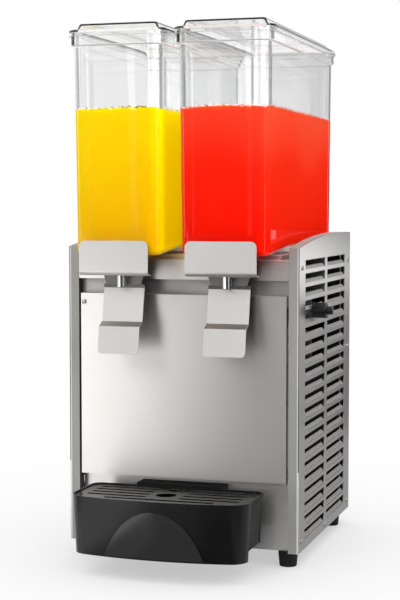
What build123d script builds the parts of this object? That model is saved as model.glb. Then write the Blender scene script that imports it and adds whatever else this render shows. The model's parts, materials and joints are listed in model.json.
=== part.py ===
"""Refrigerated drink dispenser with twin clear tanks and push-paddle taps.

Sizes are in millimetres. The origin is the centre of the cabinet's footprint on the floor,
with +X to the viewer's right, -Y to the front where the taps are, and +Z up.
"""
import os
from math import hypot

from build123d import *

# Sheet metal and fits
SHEET = 1.2
FIT_GAP = 0.3
RUNNING_GAP = 0.05
TAP_SHEET = 1.5
CUT_OVER = 1.0

# Cabinet
CABINET_W = 320.0
CABINET_D = 324.0
FOLD_W = 14.0
PANEL_FRONT_H = 400.5
PANEL_MID_H = 414.0
PANEL_REAR_H = 415.5
RECESS_D = 16.0
FRONT_PANEL_LIFT = 92.0
FRONT_PANEL_H = 245.5
FRONT_PANEL_GAP = 3.0
FRONT_PANEL_FOLD = 12.0
BAND_H = 20.0
BAND_LAP = 16.0
APRON_H = 26.8
PLATEAU_RISE = 6.2
PLATEAU_SIDE_GAP = 26.0
PLATEAU_SETBACK = 8.0
DECK_FOLD = 12.0
GUSSET_W = 30.0
GUSSET_H = 56.0

# Louvres in the side panels
LOUVRE_PITCH = 17.9
LOUVRE_W = 120.0
LOUVRE_H = 12.5
LOUVRE_DEPTH = 3.0
LOUVRE_RISE = 4.4
LOUVRE_TAPER = 3.0
LOUVRE_FIRST = 16.5
LOUVRE_LOW_MARGIN = 12.0
LOUVRE_FRONT_MARGIN = 34.0
LOUVRE_COLUMN_GAP = 13.0

# Feet and base
FOOT_R = 13.0
FOOT_H = 21.0
FOOT_SIDE_INSET = 19.5
FOOT_FRONT_INSET = 24.0
FOOT_REAR_INSET = 36.0
FOOT_STUD_R = 3.0
BASE_T = 1.5
BASE_FLANGE_H = 18.0

# Screws
SCREW_HEAD_R = 3.6
SCREW_HEAD_H = 1.8
SCREW_SHANK_R = 1.6
SCREW_LENGTH = 14.0
SCREW_SLOT_W = 1.0
SCREW_SLOT_D = 0.9
SCREW_EDGE = 16.0
SCREW_LOW = 13.0
SCREW_MID_LOW = 7.0
SCREW_MID_H = 246.0
SCREW_HIGH = 374.0
FRONT_SCREW_SIDE = 4.5
FRONT_SCREW_DROP = 11.5

# Rear panel
REAR_FOLD = 10.0
VENT_ROWS = 9
VENT_PITCH = 16.0
VENT_W = 90.0
VENT_H = 6.0
VENT_TOP_DROP = 60.0
INLET_W = 48.0
INLET_H = 28.0
INLET_DEPTH = 24.0
INLET_LIFT = 70.0
INLET_IN = 61.0
INLET_FLANGE = 4.0
INLET_WALL = 4.0
INLET_PIN_W = 2.0
INLET_PIN_H = 4.0
INLET_PIN_SPREAD = 7.0

# Tanks
TANK_X = 72.4
TANK_W = 118.2
TANK_L = 364.8
TANK_H = 279.8
TANK_WALL = 3.0
TANK_CORNER = 13.0
TANK_OVERHANG = 48.8
TANK_SIDE_DRAFT = 0.0064
TANK_FRONT_DRAFT = 0.0245
TANK_REAR_DRAFT = 0.009
TANK_RAMP_DROP = 9.5
TANK_RAMP_L = 108.8
COLLAR_H = 17.8
COLLAR_OUT = 3.5
COLLAR_CHAMFER = 4.0
JUICE_LEVEL = 179.4
JUICE_GAP = 0.3
TANK_HOLE_GAP = 3.5

# Lids
LID_GAP = 0.5
LID_LIP_T = 2.3
LID_LIP_DROP = 5.4
LID_T = 3.0
LID_RAISE = 8.6
LID_DECK_IN = 3.8
LID_DECK_SLOPE = 4.0
LID_DECK_CORNER = 8.0

# Evaporators and agitators
EVAPORATOR_Y = 150.0
EVAPORATOR_R = 43.0
EVAPORATOR_H = 105.0
EVAPORATOR_WALL = 2.0
EVAPORATOR_FLANGE_OUT = 11.0
EVAPORATOR_FLANGE_T = 1.5
GASKET_H = 8.0
GASKET_LIP_H = 4.0
AGITATOR_PIN_R = 3.0
AGITATOR_PIN_H = 14.0
AGITATOR_HUB_R = 10.0
AGITATOR_HUB_H = 17.0
AGITATOR_DISC_R = 24.0
AGITATOR_DISC_H = 5.0
AGITATOR_R = 38.0
AGITATOR_BLADE_T = 2.4
AGITATOR_BLADE_H = 11.0
AGITATOR_BLADES = 4
AGITATOR_LIFT = 0.5
AGITATOR_HEADROOM = 10.0
MAGNET_R = 24.0
MAGNET_H = 7.0
MAGNET_GAP = 2.0
MOTOR_R = 26.0
MOTOR_H = 50.0
MOTOR_PLATE_T = 3.0
SHAFT_R = 3.0
SHAFT_SEAT = 15.0

# Tap outlet
SPOUT_BACK = 15.8
SPOUT_R = 6.3
SPOUT_BORE_R = 4.0
SPOUT_L = 30.4
SPOUT_HEX = 22.0
SPOUT_HEX_H = 7.5
SPOUT_STEM_R = 7.0
BOSS_R = 14.0
BOSS_H = 6.5
BOSS_DROP = 1.0
OUTLET_GASKET_T = 1.5
OUTLET_GASKET_R = 13.0
SEAT_NUT_R = 12.0
SEAT_NUT_H = 3.5
SEAT_LIP = 0.5

# Plunger
PLUNGER_R = 1.5
PLUNGER_TAIL = 5.0
PLUNGER_CAP_R = 6.0
PLUNGER_CAP_H = 2.0
SEAL_R = 9.0
SEAL_H = 4.7
CROSSBAR_R = 1.25
CROSSBAR_HALF = 12.0
CROSSBAR_GAP = 0.25
CROSSBAR_SLOT_GAP = 0.45
PLUNGER_LIFT = 3.6

# Tap bracket and lever
PIVOT_AHEAD = 14.0
PIVOT_DROP = 2.0
PIN_R = 2.0
PIN_OVERHANG = 1.5
EAR_SPREAD = 26.0
EAR_HALF = 6.0
EAR_BELOW_PIN = 5.5
EAR_SIDE_GAP = 0.5
BRACKET_BACK = 13.0
SPRING_R = 4.3
SPRING_BORE_GAP = 0.3
SPRING_L = 8.5
HANDLE_W = 94.8
HANDLE_H = 39.2
HANDLE_CORNER = 8.0
HANDLE_AHEAD = 31.7
HANDLE_BEND = 6.0
FLANGE_DROP = 10.8
FLANGE_BACK = 12.0
NECK_BACK = 9.0
NECK_TOP_W = 57.6
NECK_LOW_W = 48.4
NECK_H = 14.5
NOTCH_TOP_W = 19.0
NOTCH_LOW_W = 14.0
NOTCH_H = 8.0
TUBE_SLOT_HALF = 8.5
TUBE_SLOT_AHEAD = 11.5

# Paddle, as points behind the spout's axis and below the lever's pivot
PADDLE_W = 56.4
PADDLE_CORNER = 5.0
SHARP_LIMIT = 0.01
PADDLE_TAB_W = 40.0
PADDLE_TAB_LAP = 6.0
PADDLE_TOP_BACK = 11.5
PADDLE_TOP_DROP = 30.0
PADDLE_MID_BACK = 2.1
PADDLE_MID_DROP = 74.7
PADDLE_STEP_AHEAD = 9.7
PADDLE_STEP_DROP = 80.6
PADDLE_LOW_AHEAD = 15.6
PADDLE_LOW_DROP = 115.8

# Drip tray and grille
TRAY_W = 238.5
TRAY_H = 76.0
TRAY_LIFT = 83.0
TRAY_GAP = 13.0
TRAY_SIDE_L = 94.0
TRAY_BOW = 14.0
TRAY_CORNER = 26.0
TRAY_REAR_CORNER = 14.0
TRAY_DRAFT = 3.8
TRAY_WALL = 5.0
TRAY_RIM = 1.8
TRAY_FLOOR = 3.0
TRAY_SEAT_DROP = 2.8
RELIEF_HALF_W = 66.0
RELIEF_CROWN_HALF = 37.6
RELIEF_TOP_DROP = 13.5
RELIEF_PROUD = 1.6
TONGUE_W = 104.0
TONGUE_T = 4.0
TONGUE_L = 19.0
TONGUE_DROP = 8.0
HANGER_W = 120.0
HANGER_H = 20.0
HANGER_RISE = 2.5
HANGER_FRONT_GAP = 3.0
GRILLE_T = 1.2
GRILLE_GAP = 0.6
SLOT_W = 8.0
SLOT_PITCH = 17.0
SLOT_ROWS = 4
SLOT_REAR = 17.0
SLOT_INNER = 22.0
SLOT_OUTER = 103.0
FRONT_SLOT_L = 148.0
DRAIN_HOLE_R = 13.0
DRAIN_HOLE_AHEAD = 52.0
SMALL_HOLE_R = 7.0
SMALL_HOLE_AHEAD = 19.0

# Refrigeration unit
COMPRESSOR_IN = 80.8
COMPRESSOR_Y = 205.0
COMPRESSOR_R = 60.0
COMPRESSOR_H = 155.0
COMPRESSOR_ROUND = 26.0
COMPRESSOR_PLATE_W = 140.0
COMPRESSOR_PLATE_D = 100.0
COMPRESSOR_PLATE_T = 3.0
GROMMET_R = 9.0
GROMMET_H = 12.0
GROMMET_EDGE = 14.0
CONDENSER_IN = 18.0
CONDENSER_T = 30.0
CONDENSER_D = 190.0
CONDENSER_H = 230.0
CONDENSER_Y = 165.0
CONDENSER_FINS = 23
CONDENSER_FIN_T = 1.0
CONDENSER_TUBE_R = 4.0
CONDENSER_TUBE_ROWS = 6
FAN_R = 76.0
FAN_GAP = 10.0
FAN_BLADE_W = 15.0
FAN_BLADE_T = 2.0
FAN_BLADE_TWIST = 30.0
FAN_BLADES = 5
FAN_HUB_R = 18.0
FAN_HUB_L = 18.0
FAN_Z = 118.0
FAN_MOTOR_R = 26.0
FAN_MOTOR_L = 34.0
FAN_SHAFT_R = 3.0
FAN_BRACKET_T = 2.0
FAN_BRACKET_W = 60.0
FAN_BRACKET_FOOT = 26.0
LINE_R = 4.0
LINE_BEND = 16.0
LINE_CLEAR = 22.0
DRIER_R = 10.0
DRIER_L = 80.0

# Thermostat on the right side panel
KNOB_Y = 78.0
KNOB_ROWS = 4
KNOB_R = 10.5
KNOB_L = 19.0
KNOB_TIP_R = 5.5
KNOB_TIP_L = 8.0
KNOB_CLEAR = 0.6
KNOB_SHAFT_R = 1.8
KNOB_SHAFT_SEAT = 10.0
THERMOSTAT_W = 40.0
THERMOSTAT_H = 26.0
THERMOSTAT_T = 28.0
THERMOSTAT_STRAP_T = 2.0
THERMOSTAT_STRAP_W = 16.0

# Levels and planes that the sizes above give
half_w = CABINET_W / 2
half_d = CABINET_D / 2
front_y = -half_d
inner_x = half_w - SHEET
pillar_x = half_w - FOLD_W
cabinet_z = FOOT_H
base_z = cabinet_z + SHEET
floor_pan_z = base_z + BASE_T
front_panel_z = cabinet_z + FRONT_PANEL_LIFT
front_panel_top = front_panel_z + FRONT_PANEL_H
apron_z = front_panel_top + BAND_H
ledge_z = apron_z + APRON_H
plateau_z = ledge_z + PLATEAU_RISE
flange_top_z = plateau_z + EVAPORATOR_FLANGE_T
tank_z = flange_top_z + GASKET_H
tank_front_z = tank_z - TANK_RAMP_DROP
tank_top_z = tank_z + TANK_H
tank_front_y = front_y - TANK_OVERHANG
tank_rear_y = tank_front_y + TANK_L
ramp_end_y = tank_front_y + TANK_RAMP_L
juice_z = tank_z + JUICE_LEVEL
evaporator_y = front_y + EVAPORATOR_Y
evaporator_top = plateau_z + EVAPORATOR_H
tank_hole_r = EVAPORATOR_R + TANK_HOLE_GAP
spout_y = tank_front_y + SPOUT_BACK
boss_z = tank_front_z - BOSS_DROP
boss_top = boss_z + BOSS_H
bracket_top = boss_z - OUTLET_GASKET_T
bracket_low = bracket_top - TAP_SHEET
hex_low = bracket_low - SPOUT_HEX_H
spout_end = hex_low - SPOUT_L
seat_z = boss_top + SEAT_NUT_H + SEAT_LIP
pivot_y = spout_y - PIVOT_AHEAD
pivot_z = hex_low - PIVOT_DROP
flange_z = pivot_z - FLANGE_DROP
crossbar_z = flange_z + CROSSBAR_GAP + CROSSBAR_R
tray_top = cabinet_z + TRAY_LIFT
tray_low = tray_top - TRAY_H
tray_rear_y = front_y - TRAY_GAP
tray_corner_y = tray_rear_y - TRAY_SIDE_L
tray_front_y = tray_corner_y - TRAY_BOW
grille_z = tray_top - TRAY_SEAT_DROP
lower_panel_y = front_y + RECESS_D
condenser_x = inner_x - CONDENSER_IN - CONDENSER_T
fan_x = condenser_x - FAN_GAP
fan_z = floor_pan_z + FAN_Z
fan_y = front_y + CONDENSER_Y
compressor_x = COMPRESSOR_IN - inner_x
inlet_x = pillar_x - INLET_IN
louvre_top_z = cabinet_z + PANEL_FRONT_H - LOUVRE_FIRST
louvre_rows = 1 + int((louvre_top_z - LOUVRE_H - LOUVRE_LOW_MARGIN - cabinet_z) // LOUVRE_PITCH)
column_gap_y = front_y + LOUVRE_FRONT_MARGIN + LOUVRE_W + LOUVRE_COLUMN_GAP / 2
knob_y = front_y + KNOB_Y
knob_z = louvre_top_z - KNOB_ROWS * LOUVRE_PITCH + (LOUVRE_PITCH - LOUVRE_H) / 2


def block(x, y, z):
    """Box between the low and high values of each axis."""
    size = [high - low for low, high in (x, y, z)]
    middle = [(low + high) / 2 for low, high in (x, y, z)]
    return Pos(*middle) * Box(*size)


def rod(radius, low, high):
    """Upright cylinder on the Z axis between two heights."""
    return Pos(0, 0, (low + high) / 2) * Cylinder(radius, high - low)


def tube(outer, inner, low, high):
    """Upright ring on the Z axis between two heights."""
    return rod(outer, low, high) - rod(inner, low - CUT_OVER, high + CUT_OVER)


def rod_along_x(radius, low, high):
    """Cylinder on the X axis between two places."""
    return Rot(0, 90, 0) * rod(radius, low, high)


def outline(points):
    """Flat face inside a closed run of straight lines."""
    return make_face(Polyline(*points, close=True))


def sheet_outline(points, thickness):
    """Outline of a bent sheet whose middle line follows the points, with mitred bends."""
    sides = ([], [])
    for i, (px, py) in enumerate(points):
        before = points[max(i - 1, 0)]
        after = points[min(i + 1, len(points) - 1)]
        first = (px - before[0], py - before[1]) if i else (after[0] - px, after[1] - py)
        last = (after[0] - px, after[1] - py) if i < len(points) - 1 else first
        first = [value / hypot(*first) for value in first]
        last = [value / hypot(*last) for value in last]
        normal = (-first[1] - last[1], first[0] + last[0])
        stretch = thickness / (1 + first[0] * last[0] + first[1] * last[1]) / 2
        for side, sign in zip(sides, (1, -1)):
            side.append((px + sign * normal[0] * stretch, py + sign * normal[1] * stretch))
    return outline(sides[0] + sides[1][::-1])


def rounded_plate(width, length, corner, middle_y, z):
    """Rounded rectangle, centred on X, lying flat at a height."""
    return Plane.XY.offset(z) * Pos(0, middle_y) * RectangleRounded(width, length, corner)


def side_outline():
    """Side panel's outline in the Y-Z plane, with its arched top."""
    front_top = (-half_d, cabinet_z + PANEL_FRONT_H)
    arch_top = (-half_d + EVAPORATOR_Y, cabinet_z + PANEL_MID_H)
    rear_top = (half_d, cabinet_z + PANEL_REAR_H)
    edge = Polyline(front_top, (-half_d, cabinet_z), (half_d, cabinet_z), rear_top)
    return make_face(edge + ThreePointArc(rear_top, arch_top, front_top))


def louvre_places():
    """Front end and lower edge of every louvre window on a side panel."""
    for column in range(2):
        y = front_y + LOUVRE_FRONT_MARGIN + column * (LOUVRE_W + LOUVRE_COLUMN_GAP)
        for row in range(louvre_rows):
            yield y, louvre_top_z - row * LOUVRE_PITCH - LOUVRE_H


def louvre_blade():
    """One louvre blade, bent inwards from its window's lower edge, narrower at its free edge."""
    drop = SHEET * hypot(LOUVRE_DEPTH, LOUVRE_RISE) / LOUVRE_DEPTH
    tip_x = inner_x - LOUVRE_DEPTH
    blade = outline([(inner_x, -drop), (tip_x, LOUVRE_RISE - drop), (tip_x, LOUVRE_RISE), (inner_x, 0)])
    width = outline([(0, -drop), (LOUVRE_W, -drop), (LOUVRE_W, 0), (LOUVRE_W - LOUVRE_TAPER, LOUVRE_RISE),
                     (LOUVRE_TAPER, LOUVRE_RISE), (0, 0)])
    return extrude(Plane.XZ * blade, -LOUVRE_W) & extrude(Plane.YZ.offset(tip_x) * width, LOUVRE_DEPTH)


def side_panel():
    """Right side panel: a pan folded in all round, a pillar return and two louvre columns."""
    shape = side_outline()
    inner = offset(shape, -SHEET, kind=Kind.INTERSECTION)
    start = Plane.YZ.offset(pillar_x)
    panel = extrude(start * shape, FOLD_W) - extrude(start * inner, FOLD_W - SHEET)
    return_top = cabinet_z + PANEL_FRONT_H - SHEET
    panel += block((pillar_x, pillar_x + SHEET), (front_y, lower_panel_y), (cabinet_z, return_top))
    blade = louvre_blade()
    windows = []
    blades = []
    for y, z in louvre_places():
        windows.append(block((inner_x, half_w), (y, y + LOUVRE_W), (z, z + LOUVRE_H)))
        blades.append(Pos(0, y, z) * blade)
    return panel - windows + blades


def side_panels():
    """Left and right side panels; the right one has the control shaft's hole."""
    plain = side_panel()
    shaft_hole = Pos(0, knob_y, knob_z) * rod_along_x(KNOB_SHAFT_R + FIT_GAP, pillar_x, half_w + CUT_OVER)
    return mirror(plain, about=Plane.YZ), plain - shaft_hole


def slotted_screw():
    """Screw that points down, with its slotted head's seat at the origin."""
    head = rod(SCREW_HEAD_R, 0, SCREW_HEAD_H)
    head = fillet(head.edges().group_by(Axis.Z)[-1], SCREW_HEAD_H / 2)
    slot_z = (SCREW_HEAD_H - SCREW_SLOT_D, SCREW_HEAD_H + CUT_OVER)
    head -= block((-SCREW_HEAD_R, SCREW_HEAD_R), (-SCREW_SLOT_W / 2, SCREW_SLOT_W / 2), slot_z)
    return head + rod(SCREW_SHANK_R, -SCREW_LENGTH, 0)


def side_screw_places():
    """Y and Z of the screws in one side panel."""
    front = front_y + SCREW_EDGE
    rear = half_d - SCREW_EDGE
    low = cabinet_z + SCREW_LOW
    high = cabinet_z + SCREW_HIGH
    return [(front, low), (front, high), (rear, low), (rear, high), (rear, cabinet_z + SCREW_MID_H),
            (column_gap_y, cabinet_z + SCREW_MID_LOW)]


def front_screw_place():
    """Place of the front panel's screw, on its left edge."""
    x = pillar_x - FRONT_PANEL_GAP - FRONT_SCREW_SIDE
    return Pos(-x, front_y, front_panel_top - FRONT_SCREW_DROP)


def at_screws(shape):
    """Copies of a screw, or of its hole, at every place on the front and side panels."""
    copies = [front_screw_place() * Rot(90, 0, 0) * shape]
    for sign in (-1, 1):
        for y, z in side_screw_places():
            copies.append(Pos(sign * half_w, y, z) * Rot(0, sign * 90, 0) * shape)
    return copies


def screw_hole():
    """Clearance hole of a panel screw."""
    return rod(SCREW_SHANK_R + RUNNING_GAP, -SCREW_LENGTH - CUT_OVER, CUT_OVER)


def front_panel():
    """Main front cover, folded back all round."""
    x = pillar_x - FRONT_PANEL_GAP
    cover = block((-x, x), (front_y, front_y + FRONT_PANEL_FOLD), (front_panel_z, front_panel_top))
    inside = block((-x + SHEET, x - SHEET), (front_y + SHEET, front_y + FRONT_PANEL_FOLD),
                   (front_panel_z + SHEET, front_panel_top - SHEET))
    return cover - inside


def front_rail():
    """Rail behind the dark band between the front panel and the apron."""
    x = pillar_x - FIT_GAP
    y = front_y + FRONT_PANEL_FOLD
    return block((-x, x), (y, y + SHEET), (front_panel_top - BAND_LAP, apron_z + BAND_LAP))


def lower_front_panel():
    """Recessed panel behind the drip tray, folded back under the base pan."""
    x = pillar_x - FIT_GAP
    top = front_panel_z + BAND_LAP
    panel = block((-x, x), (lower_panel_y, lower_panel_y + SHEET), (cabinet_z, top))
    panel += block((-x, x), (lower_panel_y, lower_panel_y + FOLD_W), (cabinet_z, base_z))
    return panel - stud_holes()


def deck():
    """Top pressing: apron, ledge with sides folded up, gussets, and plateau holed for the domes."""
    x = inner_x - FIT_GAP
    front_x = pillar_x - FIT_GAP
    rear_y = half_d - SHEET - FIT_GAP
    wide_y = lower_panel_y + FIT_GAP
    top = (ledge_z - SHEET, ledge_z)
    sheet = block((-front_x, front_x), (front_y, wide_y + SHEET), top)
    sheet += block((-x, x), (wide_y, rear_y), top)
    sheet += block((-front_x, front_x), (front_y, front_y + SHEET), (apron_z, ledge_z))
    for sign in (-1, 1):
        fold = sorted((sign * x, sign * (x - SHEET)))
        sheet += block(fold, (wide_y, rear_y), (ledge_z - SHEET, ledge_z + DECK_FOLD))
        gusset = sorted((sign * x, sign * (x - GUSSET_W)))
        gusset_y = (column_gap_y - SHEET / 2, column_gap_y + SHEET / 2)
        sheet += block(gusset, gusset_y, (ledge_z - GUSSET_H, ledge_z))
    plateau_x = half_w - PLATEAU_SIDE_GAP
    plateau_y = (front_y + PLATEAU_SETBACK, rear_y - PLATEAU_SETBACK)
    sheet += block((-plateau_x, plateau_x), plateau_y, (ledge_z - SHEET, plateau_z))
    hollow_y = (plateau_y[0] + SHEET, plateau_y[1] - SHEET)
    hollow_x = plateau_x - SHEET
    sheet -= block((-hollow_x, hollow_x), hollow_y, (ledge_z - 2 * SHEET, plateau_z - SHEET))
    hole_r = EVAPORATOR_R - EVAPORATOR_WALL
    for sign in (-1, 1):
        sheet -= Pos(sign * TANK_X, evaporator_y) * rod(hole_r, ledge_z, plateau_z + CUT_OVER)
    return sheet


def rear_panel():
    """Back cover with vent slots and the inlet's opening."""
    x = pillar_x - FIT_GAP
    z = (base_z + BASE_T + FIT_GAP, ledge_z - SHEET - FIT_GAP)
    cover = block((-x, x), (half_d - REAR_FOLD, half_d), z)
    inside_z = (z[0] + SHEET, z[1] - SHEET)
    cover -= block((-x + SHEET, x - SHEET), (half_d - REAR_FOLD, half_d - SHEET), inside_z)
    cuts = []
    through = (half_d - 2 * SHEET, half_d + CUT_OVER)
    for sign in (-1, 1):
        middle = sign * x / 2
        for row in range(VENT_ROWS):
            low = z[1] - VENT_TOP_DROP - row * VENT_PITCH
            cuts.append(block((middle - VENT_W / 2, middle + VENT_W / 2), through, (low, low + VENT_H)))
    inlet_z = cabinet_z + INLET_LIFT
    cuts.append(block((inlet_x - INLET_W / 2, inlet_x + INLET_W / 2), through,
                      (inlet_z - INLET_H / 2, inlet_z + INLET_H / 2)))
    return cover - cuts


def power_inlet():
    """Mains inlet in the back cover, with a flanged shell and three flat pins."""
    half = (INLET_W / 2 - FIT_GAP, INLET_H / 2 - FIT_GAP)
    shell = block((-half[0], half[0]), (half_d - INLET_DEPTH, half_d + SHEET), (-half[1], half[1]))
    flange = (half[0] + INLET_FLANGE, half[1] + INLET_FLANGE)
    shell += block((-flange[0], flange[0]), (half_d, half_d + SHEET), (-flange[1], flange[1]))
    hollow = (half[0] - INLET_WALL, half[1] - INLET_WALL)
    shell -= block((-hollow[0], hollow[0]), (half_d - INLET_DEPTH + INLET_WALL, half_d + 2 * SHEET),
                   (-hollow[1], hollow[1]))
    for step, lift in ((-1, -1), (0, 1), (1, -1)):
        x = step * INLET_PIN_SPREAD
        z = lift * INLET_PIN_H
        shell += block((x - INLET_PIN_W / 2, x + INLET_PIN_W / 2),
                       (half_d - INLET_DEPTH, half_d - INLET_WALL),
                       (z - INLET_PIN_H / 2, z + INLET_PIN_H / 2))
    return Pos(inlet_x, 0, cabinet_z + INLET_LIFT) * shell


def foot_places():
    """X and Y of the four feet."""
    x = half_w - FOOT_SIDE_INSET
    return [(sx * x, y) for sx in (-1, 1) for y in (front_y + FOOT_FRONT_INSET, half_d - FOOT_REAR_INSET)]


def feet():
    """Rubber feet with studs through the base pan."""
    foot = rod(FOOT_R, 0, FOOT_H)
    foot = fillet(foot.edges().group_by(Axis.Z)[0], FOOT_R / 8)
    foot += rod(FOOT_STUD_R, FOOT_H, floor_pan_z + 2 * FOOT_STUD_R)
    return [Pos(x, y) * foot for x, y in foot_places()]


def stud_holes():
    """Holes for the feet's studs."""
    hole = rod(FOOT_STUD_R + RUNNING_GAP, cabinet_z - CUT_OVER, floor_pan_z + CUT_OVER)
    return [Pos(x, y) * hole for x, y in foot_places()]


def base_pan():
    """Base plate on the side panels' lower folds, flanged up at the front and rear."""
    x = inner_x - FIT_GAP
    y = (lower_panel_y + SHEET + FIT_GAP, half_d - REAR_FOLD - FIT_GAP)
    pan = block((-x, x), y, (base_z, floor_pan_z))
    for edge in ((y[0], y[0] + BASE_T), (y[1] - BASE_T, y[1])):
        pan += block((-pillar_x, pillar_x), edge, (base_z, floor_pan_z + BASE_FLANGE_H))
    return pan - stud_holes()


def tank_section(z, inset):
    """Tank's rounded outline at a height, with its draft, drawn in by inset."""
    rise = z - tank_front_z
    width = TANK_W + 2 * rise * TANK_SIDE_DRAFT - 2 * inset
    front = tank_front_y - rise * TANK_FRONT_DRAFT + inset
    rear = tank_rear_y + rise * TANK_REAR_DRAFT - inset
    return rounded_plate(width, rear - front, TANK_CORNER - inset, (front + rear) / 2, z)


def tank_form(low, high, inset):
    """Drafted tank body between two heights, drawn in by inset."""
    return loft([tank_section(low, inset), tank_section(high, inset)], ruled=True)


def above_floor(lift):
    """Space over the tank's floor line, which runs level and then ramps down to the front."""
    margin = 2 * TANK_CORNER
    slope = TANK_RAMP_DROP / TANK_RAMP_L
    front = tank_front_y - margin
    rear = tank_rear_y + margin
    low = tank_z - slope * (ramp_end_y - front) + lift
    high = tank_top_z + margin
    shape = outline([(front, low), (ramp_end_y, tank_z + lift), (rear, tank_z + lift),
                     (rear, high), (front, high)])
    return extrude(Plane.YZ * shape, TANK_W, both=True)


def collar_plate(z, out):
    """Outline of the tank's collar, or of what goes round it, at a height."""
    section = tank_section(tank_top_z - COLLAR_H, -out)
    return Pos(0, 0, z - (tank_top_z - COLLAR_H)) * section


def tank():
    """Clear tank: drafted walls, ramped floor, collar, dome opening and outlet boss."""
    low = tank_front_z - TANK_WALL
    collar_low = tank_top_z - COLLAR_H
    collar_full = collar_low + COLLAR_CHAMFER
    body = tank_form(low, tank_top_z, 0) & above_floor(0)
    body += loft([collar_plate(collar_low, 0), collar_plate(collar_full, COLLAR_OUT)], ruled=True)
    body += extrude(collar_plate(collar_full, COLLAR_OUT), COLLAR_H - COLLAR_CHAMFER)
    inside = tank_form(low, tank_top_z + TANK_WALL, TANK_WALL) & above_floor(TANK_WALL)
    body -= inside
    body += Pos(0, spout_y) * rod(BOSS_R, boss_z, boss_top)
    body -= Pos(0, spout_y) * rod(SPOUT_STEM_R + FIT_GAP, boss_z - CUT_OVER, boss_top + TANK_WALL)
    return body - Pos(0, evaporator_y) * rod(tank_hole_r, tank_front_z, tank_z + 2 * TANK_WALL)


def juice():
    """Drink in the tank, clear of the dome, the agitator and the outlet."""
    inset = TANK_WALL + JUICE_GAP
    body = tank_form(tank_front_z, juice_z, inset) & above_floor(inset)
    dome_room = evaporator_top + AGITATOR_LIFT + AGITATOR_HUB_H + AGITATOR_HEADROOM
    body -= Pos(0, evaporator_y) * rod(tank_hole_r, tank_front_z, dome_room)
    plunger_room = seat_z + FIT_GAP + SEAL_H + PLUNGER_CAP_H + 2 * PLUNGER_LIFT
    return body - Pos(0, spout_y) * rod(BOSS_R + FIT_GAP, boss_z, plunger_room)


def lid():
    """Clear lid: a lip round the collar, a flat rim and a raised deck with sloping sides."""
    plate_top = tank_top_z + LID_T
    lip_out = COLLAR_OUT + LID_GAP + LID_LIP_T
    lip_low = tank_top_z - LID_LIP_DROP
    body = extrude(collar_plate(lip_low, lip_out), LID_LIP_DROP + LID_T)
    body -= extrude(collar_plate(lip_low, COLLAR_OUT + LID_GAP), LID_LIP_DROP)
    section = collar_plate(plate_top, 0).bounding_box()
    middle_y = section.center().Y
    width = section.size.X - 2 * LID_DECK_IN
    length = section.size.Y - 2 * LID_DECK_IN

    def deck_plate(z, inset):
        size = (width - 2 * inset, length - 2 * inset)
        return rounded_plate(*size, LID_DECK_CORNER - inset / 2, middle_y, z)

    deck_top = plate_top + LID_RAISE
    body += loft([deck_plate(plate_top, 0), deck_plate(deck_top, LID_DECK_SLOPE)], ruled=True)
    hollow = extrude(deck_plate(tank_top_z, LID_T), LID_T)
    hollow_top = deck_plate(deck_top - LID_T, LID_T + LID_DECK_SLOPE)
    return body - hollow - loft([deck_plate(plate_top, LID_T), hollow_top], ruled=True)


def evaporator():
    """Cold dome with its base flange, the agitator's pin and a refrigerant stub."""
    inner_r = EVAPORATOR_R - EVAPORATOR_WALL
    dome = rod(EVAPORATOR_R, plateau_z, evaporator_top)
    dome -= rod(inner_r, plateau_z, evaporator_top - EVAPORATOR_WALL)
    dome += tube(EVAPORATOR_R + EVAPORATOR_FLANGE_OUT, inner_r, plateau_z, flange_top_z)
    return dome + rod(AGITATOR_PIN_R, evaporator_top, evaporator_top + AGITATOR_PIN_H)


def tank_gasket():
    """Rubber seat between the dome's flange and the tank's floor, with a lip in the tank's hole."""
    bore = EVAPORATOR_R + FIT_GAP
    seat = tube(EVAPORATOR_R + EVAPORATOR_FLANGE_OUT, bore, flange_top_z, tank_z)
    return seat + tube(tank_hole_r - FIT_GAP, bore, tank_z, tank_z + GASKET_LIP_H)


def agitator():
    """Stirring impeller on the dome's pin: magnet disc, hub and straight blades."""
    low = evaporator_top + AGITATOR_LIFT
    body = rod(AGITATOR_DISC_R, low, low + AGITATOR_DISC_H) + rod(AGITATOR_HUB_R, low, low + AGITATOR_HUB_H)
    blade = block((0, AGITATOR_R), (-AGITATOR_BLADE_T / 2, AGITATOR_BLADE_T / 2),
                  (low, low + AGITATOR_BLADE_H))
    for i in range(AGITATOR_BLADES):
        body += Rot(0, 0, i * 360 / AGITATOR_BLADES) * blade
    pin_top = evaporator_top + AGITATOR_PIN_H
    return body - rod(AGITATOR_PIN_R + RUNNING_GAP, low - CUT_OVER, pin_top + AGITATOR_LIFT)


def drive_magnet():
    """Magnet disc under the dome's top, on the motor's shaft."""
    top = evaporator_top - EVAPORATOR_WALL - MAGNET_GAP
    return rod(MAGNET_R, top - MAGNET_H, top) + rod(SHAFT_R, top - MAGNET_H - MAGNET_GAP - SHAFT_SEAT, top)


def agitator_motor():
    """Stirrer motor on a plate that fits the dome's bore."""
    top = evaporator_top - EVAPORATOR_WALL - 2 * MAGNET_GAP - MAGNET_H
    body = rod(MOTOR_R, top - MOTOR_H, top)
    body += rod(EVAPORATOR_R - EVAPORATOR_WALL - FIT_GAP, top - MOTOR_H - MOTOR_PLATE_T, top - MOTOR_H)
    return body - rod(SHAFT_R + RUNNING_GAP, top - SHAFT_SEAT - FIT_GAP, top + CUT_OVER)


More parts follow.
